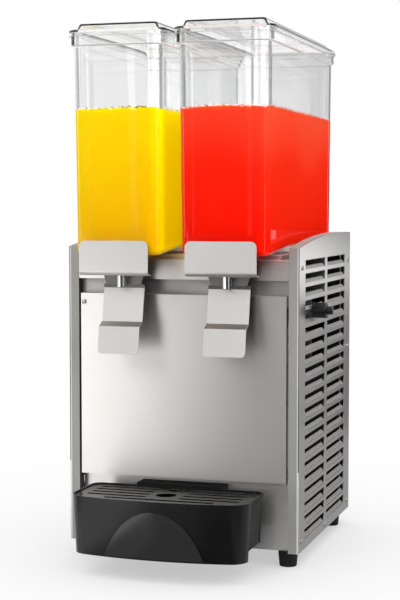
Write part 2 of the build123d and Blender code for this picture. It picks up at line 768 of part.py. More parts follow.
def spout():
    """Chromed outlet: threaded stem, hexagon and tube, slotted for the plunger's crossbar."""
    body = rod(SPOUT_STEM_R, bracket_low, seat_z)
    hexagon = RegularPolygon(SPOUT_HEX / 2, 6, major_radius=False)
    body += extrude(Plane.XY.offset(hex_low) * hexagon, SPOUT_HEX_H)
    body += rod(SPOUT_R, spout_end, hex_low)
    body -= rod(SPOUT_BORE_R, spout_end - CUT_OVER, seat_z + CUT_OVER)
    slot = CROSSBAR_R + CROSSBAR_SLOT_GAP
    slot_z = (crossbar_z - slot, crossbar_z + PLUNGER_LIFT + slot)
    return body - block((-SPOUT_STEM_R, SPOUT_STEM_R), (-slot, slot), slot_z)


def outlet_gasket():
    """Rubber ring between the tank's boss and the tap bracket."""
    return tube(OUTLET_GASKET_R, SPOUT_STEM_R + FIT_GAP, bracket_top, boss_z)


def seat_nut():
    """Nut inside the tank that clamps the spout, with a hexagon outside."""
    nut = extrude(Plane.XY.offset(boss_top) * RegularPolygon(SEAT_NUT_R, 6), SEAT_NUT_H)
    return nut - rod(SPOUT_STEM_R + RUNNING_GAP, boss_top - CUT_OVER, seat_z + CUT_OVER)


def plunger():
    """Valve stem with a crossbar that the lever lifts and a cap over the seal."""
    seal_low = seat_z + FIT_GAP
    cap_low = seal_low + SEAL_H
    stem = rod(PLUNGER_R, crossbar_z - PLUNGER_TAIL, cap_low)
    stem += rod(PLUNGER_CAP_R, cap_low, cap_low + PLUNGER_CAP_H)
    return stem + Pos(0, 0, crossbar_z) * rod_along_x(CROSSBAR_R, -CROSSBAR_HALF, CROSSBAR_HALF)


def plunger_seal():
    """Soft disc on the stem that closes the seat."""
    low = seat_z + FIT_GAP
    return tube(SEAL_R, PLUNGER_R + RUNNING_GAP, low, low + SEAL_H)


def ear(x, z, reach):
    """Upright lug in the Y-Z plane round the lever's pivot, from z towards reach."""
    low, high = sorted((z, reach))
    lug = block((x, x + TAP_SHEET), (-EAR_HALF, EAR_HALF), (low, high))
    return Pos(0, pivot_y - spout_y, 0) * lug


def pivot_hole(radius):
    """Cutter along the lever's pivot axis."""
    reach = EAR_SPREAD + 2 * TAP_SHEET + PIN_OVERHANG
    return Pos(0, pivot_y - spout_y, pivot_z) * rod_along_x(radius, -reach, reach)


def tap_bracket():
    """Stainless plate clamped under the tank, with ears for the lever's pin."""
    x = EAR_SPREAD + TAP_SHEET
    plate = block((-x, x), (-PIVOT_AHEAD - EAR_HALF, BRACKET_BACK), (bracket_low, bracket_top))
    for start in (EAR_SPREAD, -EAR_SPREAD - TAP_SHEET):
        plate += ear(start, bracket_top, pivot_z - EAR_BELOW_PIN)
    plate -= rod(SPOUT_STEM_R + RUNNING_GAP, bracket_low - CUT_OVER, bracket_top + CUT_OVER)
    return plate - pivot_hole(PIN_R + RUNNING_GAP)


def lever_pin():
    """Pin through the bracket's and the lever's ears."""
    half = EAR_SPREAD + TAP_SHEET + PIN_OVERHANG
    return Pos(0, pivot_y - spout_y, pivot_z) * rod_along_x(PIN_R, -half, half)


def lever_spring():
    """Space of the torsion spring wound on the pin beside the lever's ear."""
    end = EAR_SPREAD - 2 * EAR_SIDE_GAP - TAP_SHEET
    coil = rod_along_x(SPRING_R, end - SPRING_L, end) - rod_along_x(PIN_R + SPRING_BORE_GAP, 0, 2 * end)
    return Pos(0, pivot_y - spout_y, pivot_z) * coil


def tap_handle():
    """Bent stainless handle: front plate, rolled lower edge, flange with ears, and notched neck."""
    half = HANDLE_W / 2
    flange_low = flange_z - TAP_SHEET
    bend_z = flange_low + HANDLE_BEND
    bend_y = -HANDLE_AHEAD + HANDLE_BEND
    plate = block((-half, half), (-HANDLE_AHEAD, -HANDLE_AHEAD + TAP_SHEET), (bend_z, bend_z + HANDLE_H))
    plate = fillet(plate.edges().filter_by(Axis.Y).group_by(Axis.Z)[-1], HANDLE_CORNER)
    roll = Circle(HANDLE_BEND) - Circle(HANDLE_BEND - TAP_SHEET)
    roll &= Pos(-HANDLE_BEND / 2, -HANDLE_BEND / 2) * Rectangle(HANDLE_BEND, HANDLE_BEND)
    plate += extrude(Plane.YZ * Pos(bend_y, bend_z) * roll, half, both=True)
    wide = block((-half, half), (bend_y, -FLANGE_BACK), (flange_low, flange_z))
    wide = fillet(wide.edges().filter_by(Axis.Z).group_by(Axis.Y)[-1], HANDLE_CORNER)
    narrow = block((-NECK_TOP_W / 2, NECK_TOP_W / 2), (bend_y, NECK_BACK), (flange_low, flange_z))
    neck = outline([(-NECK_TOP_W / 2, flange_z), (NECK_TOP_W / 2, flange_z),
                    (NECK_LOW_W / 2, flange_z - NECK_H), (-NECK_LOW_W / 2, flange_z - NECK_H)])
    neck = extrude(Plane.XZ.offset(-NECK_BACK) * neck, TAP_SHEET)
    notch = outline([(-NOTCH_TOP_W / 2, flange_z + CUT_OVER), (NOTCH_TOP_W / 2, flange_z + CUT_OVER),
                     (NOTCH_LOW_W / 2, flange_z - NOTCH_H), (-NOTCH_LOW_W / 2, flange_z - NOTCH_H)])
    notch = extrude(Plane.XZ.offset(-NECK_BACK - CUT_OVER) * notch, TAP_SHEET + 2 * CUT_OVER)
    handle = plate + wide + narrow + neck - notch
    handle -= block((-TUBE_SLOT_HALF, TUBE_SLOT_HALF), (-TUBE_SLOT_AHEAD, NECK_BACK - TAP_SHEET),
                    (flange_low - CUT_OVER, flange_z + CUT_OVER))
    lug = EAR_SPREAD - EAR_SIDE_GAP - TAP_SHEET
    for start in (lug, -lug - TAP_SHEET):
        handle += ear(start, flange_low, pivot_z + EAR_BELOW_PIN)
    return handle - pivot_hole(PIN_R + RUNNING_GAP)


def tap_paddle():
    """Stepped push plate below the spout, lapped behind the handle's neck."""
    half = PADDLE_W / 2
    top = (PADDLE_TOP_BACK, pivot_z - PADDLE_TOP_DROP)
    neck_foot = (NECK_BACK + TAP_SHEET / 2, flange_z - NECK_H)
    points = [neck_foot, top,
              (PADDLE_MID_BACK, pivot_z - PADDLE_MID_DROP),
              (-PADDLE_STEP_AHEAD, pivot_z - PADDLE_STEP_DROP),
              (-PADDLE_LOW_AHEAD, pivot_z - PADDLE_LOW_DROP)]
    plate = extrude(Plane.YZ * sheet_outline(points, TAP_SHEET), half, both=True)
    low_z = plate.bounding_box().min.Z

    def at_low_corner(edge):
        middle = edge.center()
        on_side = abs(abs(middle.X) - half) < SHARP_LIMIT
        return on_side and middle.Z < low_z + TAP_SHEET and edge.length < 2 * TAP_SHEET

    plate = fillet(plate.edges().filter_by(at_low_corner), PADDLE_CORNER)
    tab = block((-PADDLE_TAB_W / 2, PADDLE_TAB_W / 2), (NECK_BACK, NECK_BACK + TAP_SHEET),
                (neck_foot[1], neck_foot[1] + PADDLE_TAB_LAP))
    return plate + tab


def tray_section(z, inset):
    """Drip tray's plan outline at a height: straight back and sides, bowed front."""
    x = TRAY_W / 2 - inset
    rear = tray_rear_y - inset
    side = tray_corner_y + inset
    edge = Polyline((-x, side), (-x, rear), (x, rear), (x, side))
    face = make_face(edge + ThreePointArc((x, side), (0, tray_front_y + inset), (-x, side)))
    face = fillet(face.vertices().sort_by(Axis.Y)[:2], TRAY_CORNER - inset)
    face = fillet(face.vertices().sort_by(Axis.Y)[-2:], TRAY_REAR_CORNER - inset)
    return Plane.XY.offset(z) * face


def tray_relief():
    """Arched shield on the tray's front, with two faces that meet in a keel."""
    low = tray_low + TRAY_FLOOR
    crown = low + (tray_top - RELIEF_TOP_DROP - low) * 4 / 3
    base = Line((-RELIEF_HALF_W, low), (RELIEF_HALF_W, low))
    arch = Bezier((RELIEF_HALF_W, low), (RELIEF_CROWN_HALF, crown), (-RELIEF_CROWN_HALF, crown),
                  (-RELIEF_HALF_W, low))
    shield = extrude(Plane.XZ.offset(-tray_corner_y) * make_face(base + arch), 2 * TRAY_BOW)
    keel_y = tray_front_y - RELIEF_PROUD / 2
    side_y = tray_corner_y - TRAY_BOW * (1 - (2 * RELIEF_HALF_W / TRAY_W) ** 2) - RELIEF_PROUD
    keel = outline([(-RELIEF_HALF_W, side_y), (0, keel_y), (RELIEF_HALF_W, side_y),
                    (RELIEF_HALF_W, tray_corner_y), (-RELIEF_HALF_W, tray_corner_y)])
    return shield & extrude(keel, tray_top)


def drip_tray():
    """Black drip tray: drafted basin with a rim for the grille, a front shield and a rear tongue."""
    body = loft([tray_section(tray_low, TRAY_DRAFT), tray_section(tray_top, 0)], ruled=True) + tray_relief()
    floor_z = tray_low + TRAY_FLOOR
    basin_low = tray_section(floor_z, TRAY_DRAFT + TRAY_WALL)
    body -= loft([basin_low, tray_section(tray_top, TRAY_WALL)], ruled=True)
    body -= extrude(tray_section(grille_z, TRAY_RIM), TRAY_SEAT_DROP)
    tongue_z = tray_top - TONGUE_DROP
    tongue = block((-TONGUE_W / 2, TONGUE_W / 2), (tray_rear_y - TRAY_WALL, tray_rear_y + TONGUE_L),
                   (tongue_z - TONGUE_T, tongue_z))
    basin = extrude(tray_section(tray_low, TRAY_WALL), TRAY_H)
    return body + (tongue - basin)


def tray_hanger():
    """Black bracket on the lower front panel with a pocket for the tray's tongue."""
    top = tray_top + HANGER_RISE
    front = tray_rear_y + HANGER_FRONT_GAP
    body = block((-HANGER_W / 2, HANGER_W / 2), (front, lower_panel_y), (top - HANGER_H, top))
    pocket_x = TONGUE_W / 2 + FIT_GAP
    tongue_z = tray_top - TONGUE_DROP
    return body - block((-pocket_x, pocket_x), (front - CUT_OVER, tray_rear_y + TONGUE_L + FIT_GAP),
                        (tongue_z - TONGUE_T - FIT_GAP, tongue_z + FIT_GAP))


def drip_grille():
    """Polished slotted plate in the tray's rim, with two drain holes."""
    face = tray_section(0, TRAY_RIM + GRILLE_GAP)
    length = SLOT_OUTER - SLOT_INNER
    for row in range(SLOT_ROWS):
        y = tray_rear_y - SLOT_REAR - row * SLOT_PITCH
        for sign in (-1, 1):
            face -= Pos(sign * (SLOT_INNER + length / 2), y) * SlotOverall(length, SLOT_W)
    front_y_slot = tray_rear_y - SLOT_REAR - SLOT_ROWS * SLOT_PITCH
    face -= Pos(0, front_y_slot) * SlotOverall(FRONT_SLOT_L, SLOT_W)
    face -= Pos(0, tray_rear_y - DRAIN_HOLE_AHEAD) * Circle(DRAIN_HOLE_R)
    face -= Pos(0, tray_rear_y - SMALL_HOLE_AHEAD) * Circle(SMALL_HOLE_R)
    return Pos(0, 0, grille_z) * extrude(face, GRILLE_T)


def grommet_places():
    """X and Y of the compressor's rubber mounts, from the compressor's axis."""
    x = COMPRESSOR_PLATE_W / 2 - GROMMET_EDGE
    y = COMPRESSOR_PLATE_D / 2 - GROMMET_EDGE
    return [(sx * x, sy * y) for sx in (-1, 1) for sy in (-1, 1)]


def compressor_place():
    """Compressor's axis on the base pan."""
    return Pos(compressor_x, front_y + COMPRESSOR_Y, floor_pan_z)


def compressor_grommets():
    """Rubber mounts between the base pan and the compressor's plate."""
    return [compressor_place() * Pos(x, y) * rod(GROMMET_R, 0, GROMMET_H) for x, y in grommet_places()]


def compressor():
    """Hermetic compressor: rounded can on a mounting plate, with its discharge stub on top."""
    plate_top = GROMMET_H + COMPRESSOR_PLATE_T
    can = rod(COMPRESSOR_R, plate_top, plate_top + COMPRESSOR_H)
    can = fillet(can.edges().group_by(Axis.Z)[-1], COMPRESSOR_ROUND)
    plate = block((-COMPRESSOR_PLATE_W / 2, COMPRESSOR_PLATE_W / 2),
                  (-COMPRESSOR_PLATE_D / 2, COMPRESSOR_PLATE_D / 2), (GROMMET_H, plate_top))
    return compressor_place() * (can + plate)


def condenser():
    """Finned condenser: end plates, fins and straight tubes on a foot."""
    y = (fan_y - CONDENSER_D / 2, fan_y + CONDENSER_D / 2)
    x = (condenser_x, condenser_x + CONDENSER_T)
    top = floor_pan_z + CONDENSER_H
    pitch = (CONDENSER_D - CONDENSER_FIN_T) / (CONDENSER_FINS - 1)
    fin = block(x, (0, CONDENSER_FIN_T), (floor_pan_z, top))
    tubes = []
    for row in range(CONDENSER_TUBE_ROWS):
        z = floor_pan_z + (row + 0.5) * CONDENSER_H / CONDENSER_TUBE_ROWS
        pipe = Rot(90, 0, 0) * rod(CONDENSER_TUBE_R, -CONDENSER_D / 2 - LINE_R, CONDENSER_D / 2 + LINE_R)
        tubes.append(Pos(condenser_x + CONDENSER_T / 2, fan_y, z) * pipe)
    fins = [Pos(0, y[0] + i * pitch, 0) * fin for i in range(CONDENSER_FINS)]
    return fins[0] + fins[1:] + tubes


def fan_motor():
    """Fan motor on the bracket's plate, with its shaft."""
    body = rod_along_x(FAN_MOTOR_R, -FAN_MOTOR_L, 0) + rod_along_x(FAN_SHAFT_R, 0, FAN_HUB_L)
    return Pos(fan_x - FAN_HUB_L - FIT_GAP, fan_y, fan_z) * body


def fan_bracket():
    """Upright strap on the base pan that carries the fan motor."""
    plate_x = fan_x - FAN_HUB_L - FIT_GAP - FAN_MOTOR_L
    y = (fan_y - FAN_BRACKET_W / 2, fan_y + FAN_BRACKET_W / 2)
    strap = block((plate_x - FAN_BRACKET_T, plate_x), y, (floor_pan_z, fan_z + FAN_BRACKET_W / 2))
    foot_z = (floor_pan_z, floor_pan_z + FAN_BRACKET_T)
    return strap + block((plate_x - FAN_BRACKET_FOOT, plate_x), y, foot_z)


def fan_blade():
    """Condenser fan: hub with twisted blades on the motor's shaft."""
    body = rod_along_x(FAN_HUB_R, 0, FAN_HUB_L)
    blade = block((-FAN_BLADE_T / 2, FAN_BLADE_T / 2), (-FAN_BLADE_W, FAN_BLADE_W), (FAN_HUB_R / 2, FAN_R))
    blade = Pos(FAN_HUB_L / 2, 0, 0) * Rot(0, 0, FAN_BLADE_TWIST) * blade
    for i in range(FAN_BLADES):
        body += Rot(i * 360 / FAN_BLADES, 0, 0) * blade
    body -= rod_along_x(FAN_SHAFT_R + RUNNING_GAP, -CUT_OVER, FAN_HUB_L + CUT_OVER)
    return Pos(fan_x - FAN_HUB_L, fan_y, fan_z) * body


def pipe(points):
    """Round refrigerant line along straight runs joined by bends."""
    path = FilletPolyline(*points, radius=LINE_BEND)
    section = Plane(origin=path @ 0, z_dir=path % 0) * Circle(LINE_R)
    return sweep(section, path)


def drier_place():
    """X and Y of the drier, in front of the condenser."""
    return condenser_x + CONDENSER_T / 2, fan_y - CONDENSER_D / 2 - LINE_CLEAR


def filter_drier():
    """Copper drier standing on the base pan."""
    body = rod(DRIER_R, floor_pan_z, floor_pan_z + DRIER_L)
    return Pos(*drier_place()) * fillet(body.edges().group_by(Axis.Z)[-1], DRIER_R / 2)


def refrigerant_lines():
    """Lines from the compressor to the condenser, the drier to a dome, and a dome to the compressor."""
    can_top = floor_pan_z + GROMMET_H + COMPRESSOR_PLATE_T + COMPRESSOR_H
    can_y = front_y + COMPRESSOR_Y
    return_y = can_y - LINE_CLEAR
    condenser_top = floor_pan_z + CONDENSER_H
    coil_x = condenser_x + CONDENSER_T / 2
    drier_x, drier_y = drier_place()
    turn_z = knob_z - THERMOSTAT_H / 2 - LINE_CLEAR
    dome_out = EVAPORATOR_R - EVAPORATOR_WALL - LINE_R - FIT_GAP
    end_z = plateau_z + LINE_CLEAR
    right_x = TANK_X + dome_out
    left_x = -TANK_X + dome_out
    over_z = max(can_top, condenser_top) + 2 * LINE_CLEAR
    discharge = [(compressor_x, can_y, can_top), (compressor_x, can_y, over_z), (coil_x, can_y, over_z),
                 (coil_x, can_y, condenser_top)]
    liquid = [(drier_x, drier_y, floor_pan_z + DRIER_L), (drier_x, drier_y, turn_z),
              (right_x, evaporator_y, turn_z), (right_x, evaporator_y, end_z)]
    suction = [(compressor_x, return_y, can_top), (compressor_x, return_y, turn_z + 2 * LINE_CLEAR),
               (left_x, evaporator_y, turn_z + 2 * LINE_CLEAR), (left_x, evaporator_y, end_z)]
    return [pipe(discharge), pipe(liquid), pipe(suction)]


def thermostat():
    """Thermostat body behind the louvres, strapped to the panel's plain front margin."""
    x = inner_x - LOUVRE_DEPTH - SHEET - FIT_GAP
    y = (knob_y - THERMOSTAT_W / 2, knob_y + THERMOSTAT_W / 2)
    body = block((x - THERMOSTAT_T, x), y, (knob_z - THERMOSTAT_H / 2, knob_z + THERMOSTAT_H / 2))
    strap_y = front_y + RECESS_D
    strap_z = (knob_z - THERMOSTAT_STRAP_W / 2, knob_z + THERMOSTAT_STRAP_W / 2)
    body += block((x - THERMOSTAT_STRAP_T, x), (strap_y, y[0]), strap_z)
    strap_end = (strap_y, strap_y + THERMOSTAT_STRAP_T)
    body += block((x - THERMOSTAT_STRAP_T, inner_x - FIT_GAP), strap_end, strap_z)
    bore = rod_along_x(KNOB_SHAFT_R + RUNNING_GAP, x - KNOB_SHAFT_SEAT - FIT_GAP, x + CUT_OVER)
    return body - Pos(0, knob_y, knob_z) * bore


def thermostat_knob():
    """Stepped round control knob outside the right panel, with its shaft."""
    start = half_w + KNOB_CLEAR
    shaft_end = inner_x - LOUVRE_DEPTH - SHEET - FIT_GAP - KNOB_SHAFT_SEAT
    body = rod_along_x(KNOB_R, start, start + KNOB_L)
    body = fillet(body.edges().group_by(Axis.X)[-1], KNOB_R / 8)
    tip = rod_along_x(KNOB_TIP_R, start + KNOB_L, start + KNOB_L + KNOB_TIP_L)
    tip = fillet(tip.edges().group_by(Axis.X)[-1], KNOB_TIP_R / 4)
    body += tip + rod_along_x(KNOB_SHAFT_R, shaft_end, start)
    return Pos(0, knob_y, knob_z) * body


def tank_nodes():
    """Pieces of one tank, tap and stirrer, built on the tank's middle plane."""
    at_tap = Pos(0, spout_y)
    at_dome = Pos(0, evaporator_y)
    return {
        "tank": tank(),
        "lid": lid(),
        "juice": juice(),
        "evaporator": at_dome * evaporator(),
        "tank_gasket": at_dome * tank_gasket(),
        "agitator": at_dome * agitator(),
        "drive_magnet": at_dome * drive_magnet(),
        "agitator_motor": at_dome * agitator_motor(),
        "spout": at_tap * spout(),
        "outlet_gasket": at_tap * outlet_gasket(),
        "seat_nut": at_tap * seat_nut(),
        "plunger": at_tap * plunger(),
        "plunger_seal": at_tap * plunger_seal(),
        "tap_bracket": at_tap * tap_bracket(),
        "lever_pin": at_tap * lever_pin(),
        "lever_spring": at_tap * lever_spring(),
        "tap_handle": at_tap * tap_handle(),
        "tap_paddle": at_tap * tap_paddle(),
    }


def cabinet_nodes():
    """Cabinet, drip tray and refrigeration pieces."""
    left, right = side_panels()
    holes = at_screws(screw_hole())
    return {
        "base_pan": base_pan(),
        "feet": feet(),
        "left_side_panel": left - holes,
        "right_side_panel": right - holes,
        "panel_screws": at_screws(slotted_screw()),
        "front_panel": front_panel() - holes,
        "front_rail": front_rail() - holes,
        "lower_front_panel": lower_front_panel(),
        "deck": deck(),
        "rear_panel": rear_panel(),
        "power_inlet": power_inlet(),
        "drip_tray": drip_tray(),
        "drip_grille": drip_grille(),
        "tray_hanger": tray_hanger(),
        "compressor": compressor(),
        "compressor_grommets": compressor_grommets(),
        "condenser": condenser(),
        "fan_motor": fan_motor(),
        "fan_bracket": fan_bracket(),
        "fan_blade": fan_blade(),
        "filter_drier": filter_drier(),
        "refrigerant_lines": refrigerant_lines(),
        "thermostat": thermostat(),
        "thermostat_knob": thermostat_knob(),
    }


def save(name, shape):
    """Write one node, a single solid or a group of separate ones."""
    solids = shape if isinstance(shape, list) else [shape]
    solids = [solid for item in solids for solid in item.solids()]
    export_step(solids[0] if len(solids) == 1 else Compound(children=solids), f"parts/{name}.step")


os.makedirs("parts", exist_ok=True)
for node, shape in cabinet_nodes().items():
    save(node, shape)
for side, sign in (("left", -1), ("right", 1)):
    for node, shape in tank_nodes().items():
        save(f"{side}_{node}", Pos(sign * TANK_X, 0, 0) * shape)
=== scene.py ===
"""Finish of a countertop drink dispenser with two clear tanks, built around its packed solids.

Lengths are metres in the shared frame: +X to the right, -Y to the front where the taps are, +Z up.
"""
import json
import math

import bmesh
import bpy
from bpy.props import FloatProperty, FloatVectorProperty, IntProperty, PointerProperty
from mathutils import Matrix, Vector

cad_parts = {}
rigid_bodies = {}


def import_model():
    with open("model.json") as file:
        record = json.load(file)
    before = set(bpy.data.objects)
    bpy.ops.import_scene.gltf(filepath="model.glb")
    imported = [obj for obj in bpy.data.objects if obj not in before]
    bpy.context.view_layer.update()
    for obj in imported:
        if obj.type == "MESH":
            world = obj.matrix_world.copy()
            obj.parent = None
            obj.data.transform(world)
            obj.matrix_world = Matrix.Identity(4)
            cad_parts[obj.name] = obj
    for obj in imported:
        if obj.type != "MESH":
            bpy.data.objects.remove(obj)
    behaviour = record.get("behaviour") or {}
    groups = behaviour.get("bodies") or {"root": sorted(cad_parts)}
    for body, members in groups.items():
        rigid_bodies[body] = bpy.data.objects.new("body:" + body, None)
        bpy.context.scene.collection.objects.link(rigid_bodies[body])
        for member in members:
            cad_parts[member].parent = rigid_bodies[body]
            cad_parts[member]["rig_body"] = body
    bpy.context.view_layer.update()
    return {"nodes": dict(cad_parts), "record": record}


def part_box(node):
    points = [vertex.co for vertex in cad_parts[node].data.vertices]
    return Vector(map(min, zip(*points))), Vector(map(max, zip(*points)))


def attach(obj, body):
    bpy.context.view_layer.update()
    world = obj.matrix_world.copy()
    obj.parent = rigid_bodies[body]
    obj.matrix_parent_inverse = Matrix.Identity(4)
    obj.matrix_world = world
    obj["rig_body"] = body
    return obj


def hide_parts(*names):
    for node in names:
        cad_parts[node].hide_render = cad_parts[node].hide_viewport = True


bl_info = {
    "name": "Twin-tank drink dispenser",
    "version": (1, 0, 0),
    "blender": (4, 5, 0),
    "location": "3D View > Sidebar > Dispenser",
    "description": "Dresses the dispenser's solids with finished surfaces and a photo stage",
    "category": "Object",
}

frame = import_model()
NODES = frame["nodes"]
SLOTS = {part["node"]: part["material_slot"] for part in frame["record"]["subparts"]}
SIDES = ("left", "right")

# Mesh building: distances and angles that count as nothing, the angle of a crease, and steps of arcs
WELD = 1e-6
FLAT = math.radians(0.5)
CREASE = math.radians(32)
EDGE_STEPS = 2
ARC_STEPS = 4
CORNER_STEPS = 8
CIRCLE_STEPS = 48

# Tanks: rounding under the collar, at its lower edge and along the rim, and the reach of the frost
# below and above the collar's underside
COLLAR_ROUND = 0.0006
COLLAR_EDGE = 0.0012
RIM_EDGE = 0.0009
FROST_BELOW = 0.001
FROST_ABOVE = 0.003

# Room round the dome and the plunger, as shares of the gasket's, the agitator's and the seal's width
DOME_HOLE = 0.86
DOME_ROOM = 1.22
PLUNGER_ROOM = 0.57

# Room above the agitator and the plunger
DOME_HEADROOM = 0.01
PLUNGER_HEADROOM = 0.004

# Drink's surface: its ripples in radians to the metre, how far in the froth lies and the size of its
# smallest bubbles, as shares of the largest one's radius, and how far the bubbles stray
RIPPLE_ACROSS = 190
RIPPLE_ALONG = 130
RIPPLE_SLANT = 60
FROTH_INSET = 0.25
FROTH_SMALLEST = 0.25
FROTH_STRAY = ((-0.0008, -0.0008, -0.0004), (0.0008, 0.0008, 0.0012))


def length(name, description, default):
    """Property that holds a length."""
    return FloatProperty(name=name, description=description, default=default, unit="LENGTH", precision=4)


def ratio(name, description, default):
    """Property that holds a plain number."""
    return FloatProperty(name=name, description=description, default=default, precision=4)


def power(name, description, default):
    """Property that holds a lamp's power."""
    return FloatProperty(name=name, description=description, default=default, unit="POWER")


def colour(name, description, default):
    """Property that holds a linear colour."""
    return FloatVectorProperty(name=name, description=description, default=default, subtype="COLOR",
                               size=3, min=0, max=1)


class TankSizes(bpy.types.PropertyGroup):
    """Sizes of the clear tanks."""

    wall: length("Wall", "Thickness of the walls and floor", 0.003)
    corner: length("Corner", "Radius of the upright corners", 0.013)
    inner_corner: length("Inner corner", "Radius of the upright corners inside", 0.016)
    height: length("Height", "Rim above the level part of the floor", 0.2798)
    ramp_drop: length("Ramp drop", "Fall of the floor to the outlet", 0.0095)
    ramp_length: length("Ramp length", "Length of the sloping floor", 0.1088)
    floor_round: length("Floor round", "Radius between the walls and the floor", 0.006)
    collar_height: length("Collar height", "Height of the thick collar at the rim", 0.0178)
    collar_out: length("Collar out", "How far the collar stands out from the wall", 0.0035)
    collar_slope: length("Collar slope", "Height of the collar's sloping underside", 0.0008)
    side_draft: ratio("Side draft", "Lean of each side wall", 0.0064)
    front_draft: ratio("Front draft", "Lean of the front wall", 0.0245)
    rear_draft: ratio("Rear draft", "Lean of the rear wall", 0.009)


class LidSizes(bpy.types.PropertyGroup):
    """Sizes of the lids."""

    plate: length("Plate", "Thickness of the lid", 0.003)
    lip_gap: length("Lip gap", "Room between the lip and the collar", 0.0005)
    lip_wall: length("Lip wall", "Thickness of the lip", 0.0023)
    lip_drop: length("Lip drop", "How far the lip hangs below the rim", 0.0054)
    deck_in: length("Deck inset", "Flat rim round the raised deck", 0.0038)
    deck_rise: length("Deck rise", "Height of the raised deck", 0.0086)
    deck_slope: length("Deck slope", "How far the deck's sides lean in", 0.004)
    edge: length("Edge", "Radius of the moulded edges", 0.0013)


class DrinkLook(bpy.types.PropertyGroup):
    """Drinks in the tanks."""

    left: colour("Left drink", "Colour of the drink in the left tank", (0.79, 0.55, 0.001))
    left_top: colour("Left top", "Colour of the left drink near its surface", (0.81, 0.62, 0.0012))
    left_deep: colour("Left depth", "Colour of the left drink low in its tank", (0.74, 0.43, 0.0004))
    right: colour("Right drink", "Colour of the drink in the right tank", (0.81, 0.018, 0.0045))
    right_top: colour("Right top", "Colour of the right drink near its surface", (0.83, 0.062, 0.024))
    right_deep: colour("Right depth", "Colour of the right drink low in its tank", (0.76, 0.007, 0.0008))
    soak: length("Soak", "How far the drink reaches into the wall, so that no air shows between", 0.0002)
    meniscus: length("Meniscus", "How far the drink climbs the wall", 0.0007)
    swell: length("Swell", "How far the stirred surface stands above its level", 0.0024)
    fall: ratio("Fall", "Share of the swell that is lost half the width away from the crest", 0.42)
    crest: ratio("Crest", "Place of the highest line, as a share of half the width", 0.25)
    ripple: length("Ripple", "Height of the small ripples", 0.0004)
    froth_count: IntProperty(name="Froth", description="Bubbles along the drink's edge", default=420, min=0)
    froth_size: length("Bubble", "Radius of the largest bubble", 0.0019)


class SheetSizes(bpy.types.PropertyGroup):
    """Edges of the sheet metal and mouldings."""

    panel_edge: length("Panel edge", "Rounding of the cabinet's folded edges", 0.0005)
    tap_edge: length("Tap edge", "Rounding of the tap plates' edges", 0.0008)
    moulded_edge: length("Moulded edge", "Rounding of moulded parts", 0.0008)
    seam: length("Seam", "Width of the lines along the side panels' outer edges", 0.0013)
    screw_height: length("Screw head", "Height of the panel screws' heads", 0.0018)


class MetalLook(bpy.types.PropertyGroup):
    """Colours of the metals."""

    steel: colour("Steel", "Stainless steel", (0.62, 0.605, 0.585))
    zinc: colour("Zinc", "Galvanised sheet", (0.5, 0.52, 0.53))
    # Copper darkened partly as tarnish and partly as painted shade inside the closed cabinet
    copper: colour("Copper", "Refrigerant lines", (0.2, 0.11, 0.075))


class TraySizes(bpy.types.PropertyGroup):
    """Sizes of the drip tray."""

    fascia: length("Fascia", "Depth of the front fascia, round its corners", 0.037)
    step: length("Step", "How far the basin's sides stand in behind the fascia", 0.002)
    rim: length("Rim", "Height of the rim round the grille", 0.004)
    wall: length("Wall", "Thickness of the basin's sides", 0.0045)
    lift: length("Lift", "How far the basin's bottom stands above the fascia's", 0.011)
    lift_height: length("Lift height", "Height of the basin over which the lift fades", 0.04)


class StageLook(bpy.types.PropertyGroup):
    """Floor, lamps and camera."""

    floor: colour("Floor", "Colour of the floor", (0.93, 0.93, 0.93))
    floor_white: ratio("Floor white", "How far the floor is white to the camera whatever its light", 0.9)
    shadow_reach: length("Shadow reach", "How far the soft contact shadow spreads over the floor", 0.25)
    fill: ratio("Fill", "Brightness of the room's even light", 0.5)
    key_power: power("Key", "Power of the front softbox", 25)
    side_power: power("Side", "Power of the right softbox", 38)
    top_power: power("Top", "Power of the overhead softbox", 10)
    drink_right: ratio("Drink right", "Light on the drinks' right sides, which the tanks don't shade", 2.8)
    drink_left: ratio("Drink left", "Light on the drinks' left sides, which the tanks don't shade", 0.8)
    lens: FloatProperty(name="Lens", description="Focal length", default=88.78, unit="CAMERA")


class Wire:
    """Shader socket that takes part in Python arithmetic; every step adds a Math node."""

    def __init__(self, shading, socket):
        self.shading = shading
        self.socket = socket

    def math(self, operation, first, second):
        """Math node on two values."""
        return self.shading.node("ShaderNodeMath", {"operation": operation}, {0: first, 1: second})

    def __add__(self, other):
        return self.math("ADD", self, other)

    def __radd__(self, other):
        return self.math("ADD", other, self)

    def __sub__(self, other):
        return self.math("SUBTRACT", self, other)

    def __rsub__(self, other):
        return self.math("SUBTRACT", other, self)

    def __mul__(self, other):
        return self.math("MULTIPLY", self, other)

    def __rmul__(self, other):
        return self.math("MULTIPLY", other, self)

    def __truediv__(self, other):
        return self.math("DIVIDE", self, other)

    def __rtruediv__(self, other):
        return self.math("DIVIDE", other, self)


class Shading:
    """Shader nodes of a material or of the world."""

    def __init__(self, tree):
        self.tree = tree

    def node(self, kind, settings=None, sockets=None, out=0):
        """Add a node with its settings and socket values, and give one of its outputs."""
        made = self.tree.nodes.new(kind)
        for key, value in (settings or {}).items():
            if key == "stops":
                set_stops(made.color_ramp, value)
            else:
                setattr(made, key, value)
        for key, value in (sockets or {}).items():
            self.feed(made.inputs[key], value)
        return Wire(self, made.outputs[out])

    def feed(self, socket, value):
        """Link a wire to a socket, or set its value."""
        if isinstance(value, Wire):
            self.tree.links.new(value.socket, socket)
        else:
            socket.default_value = value


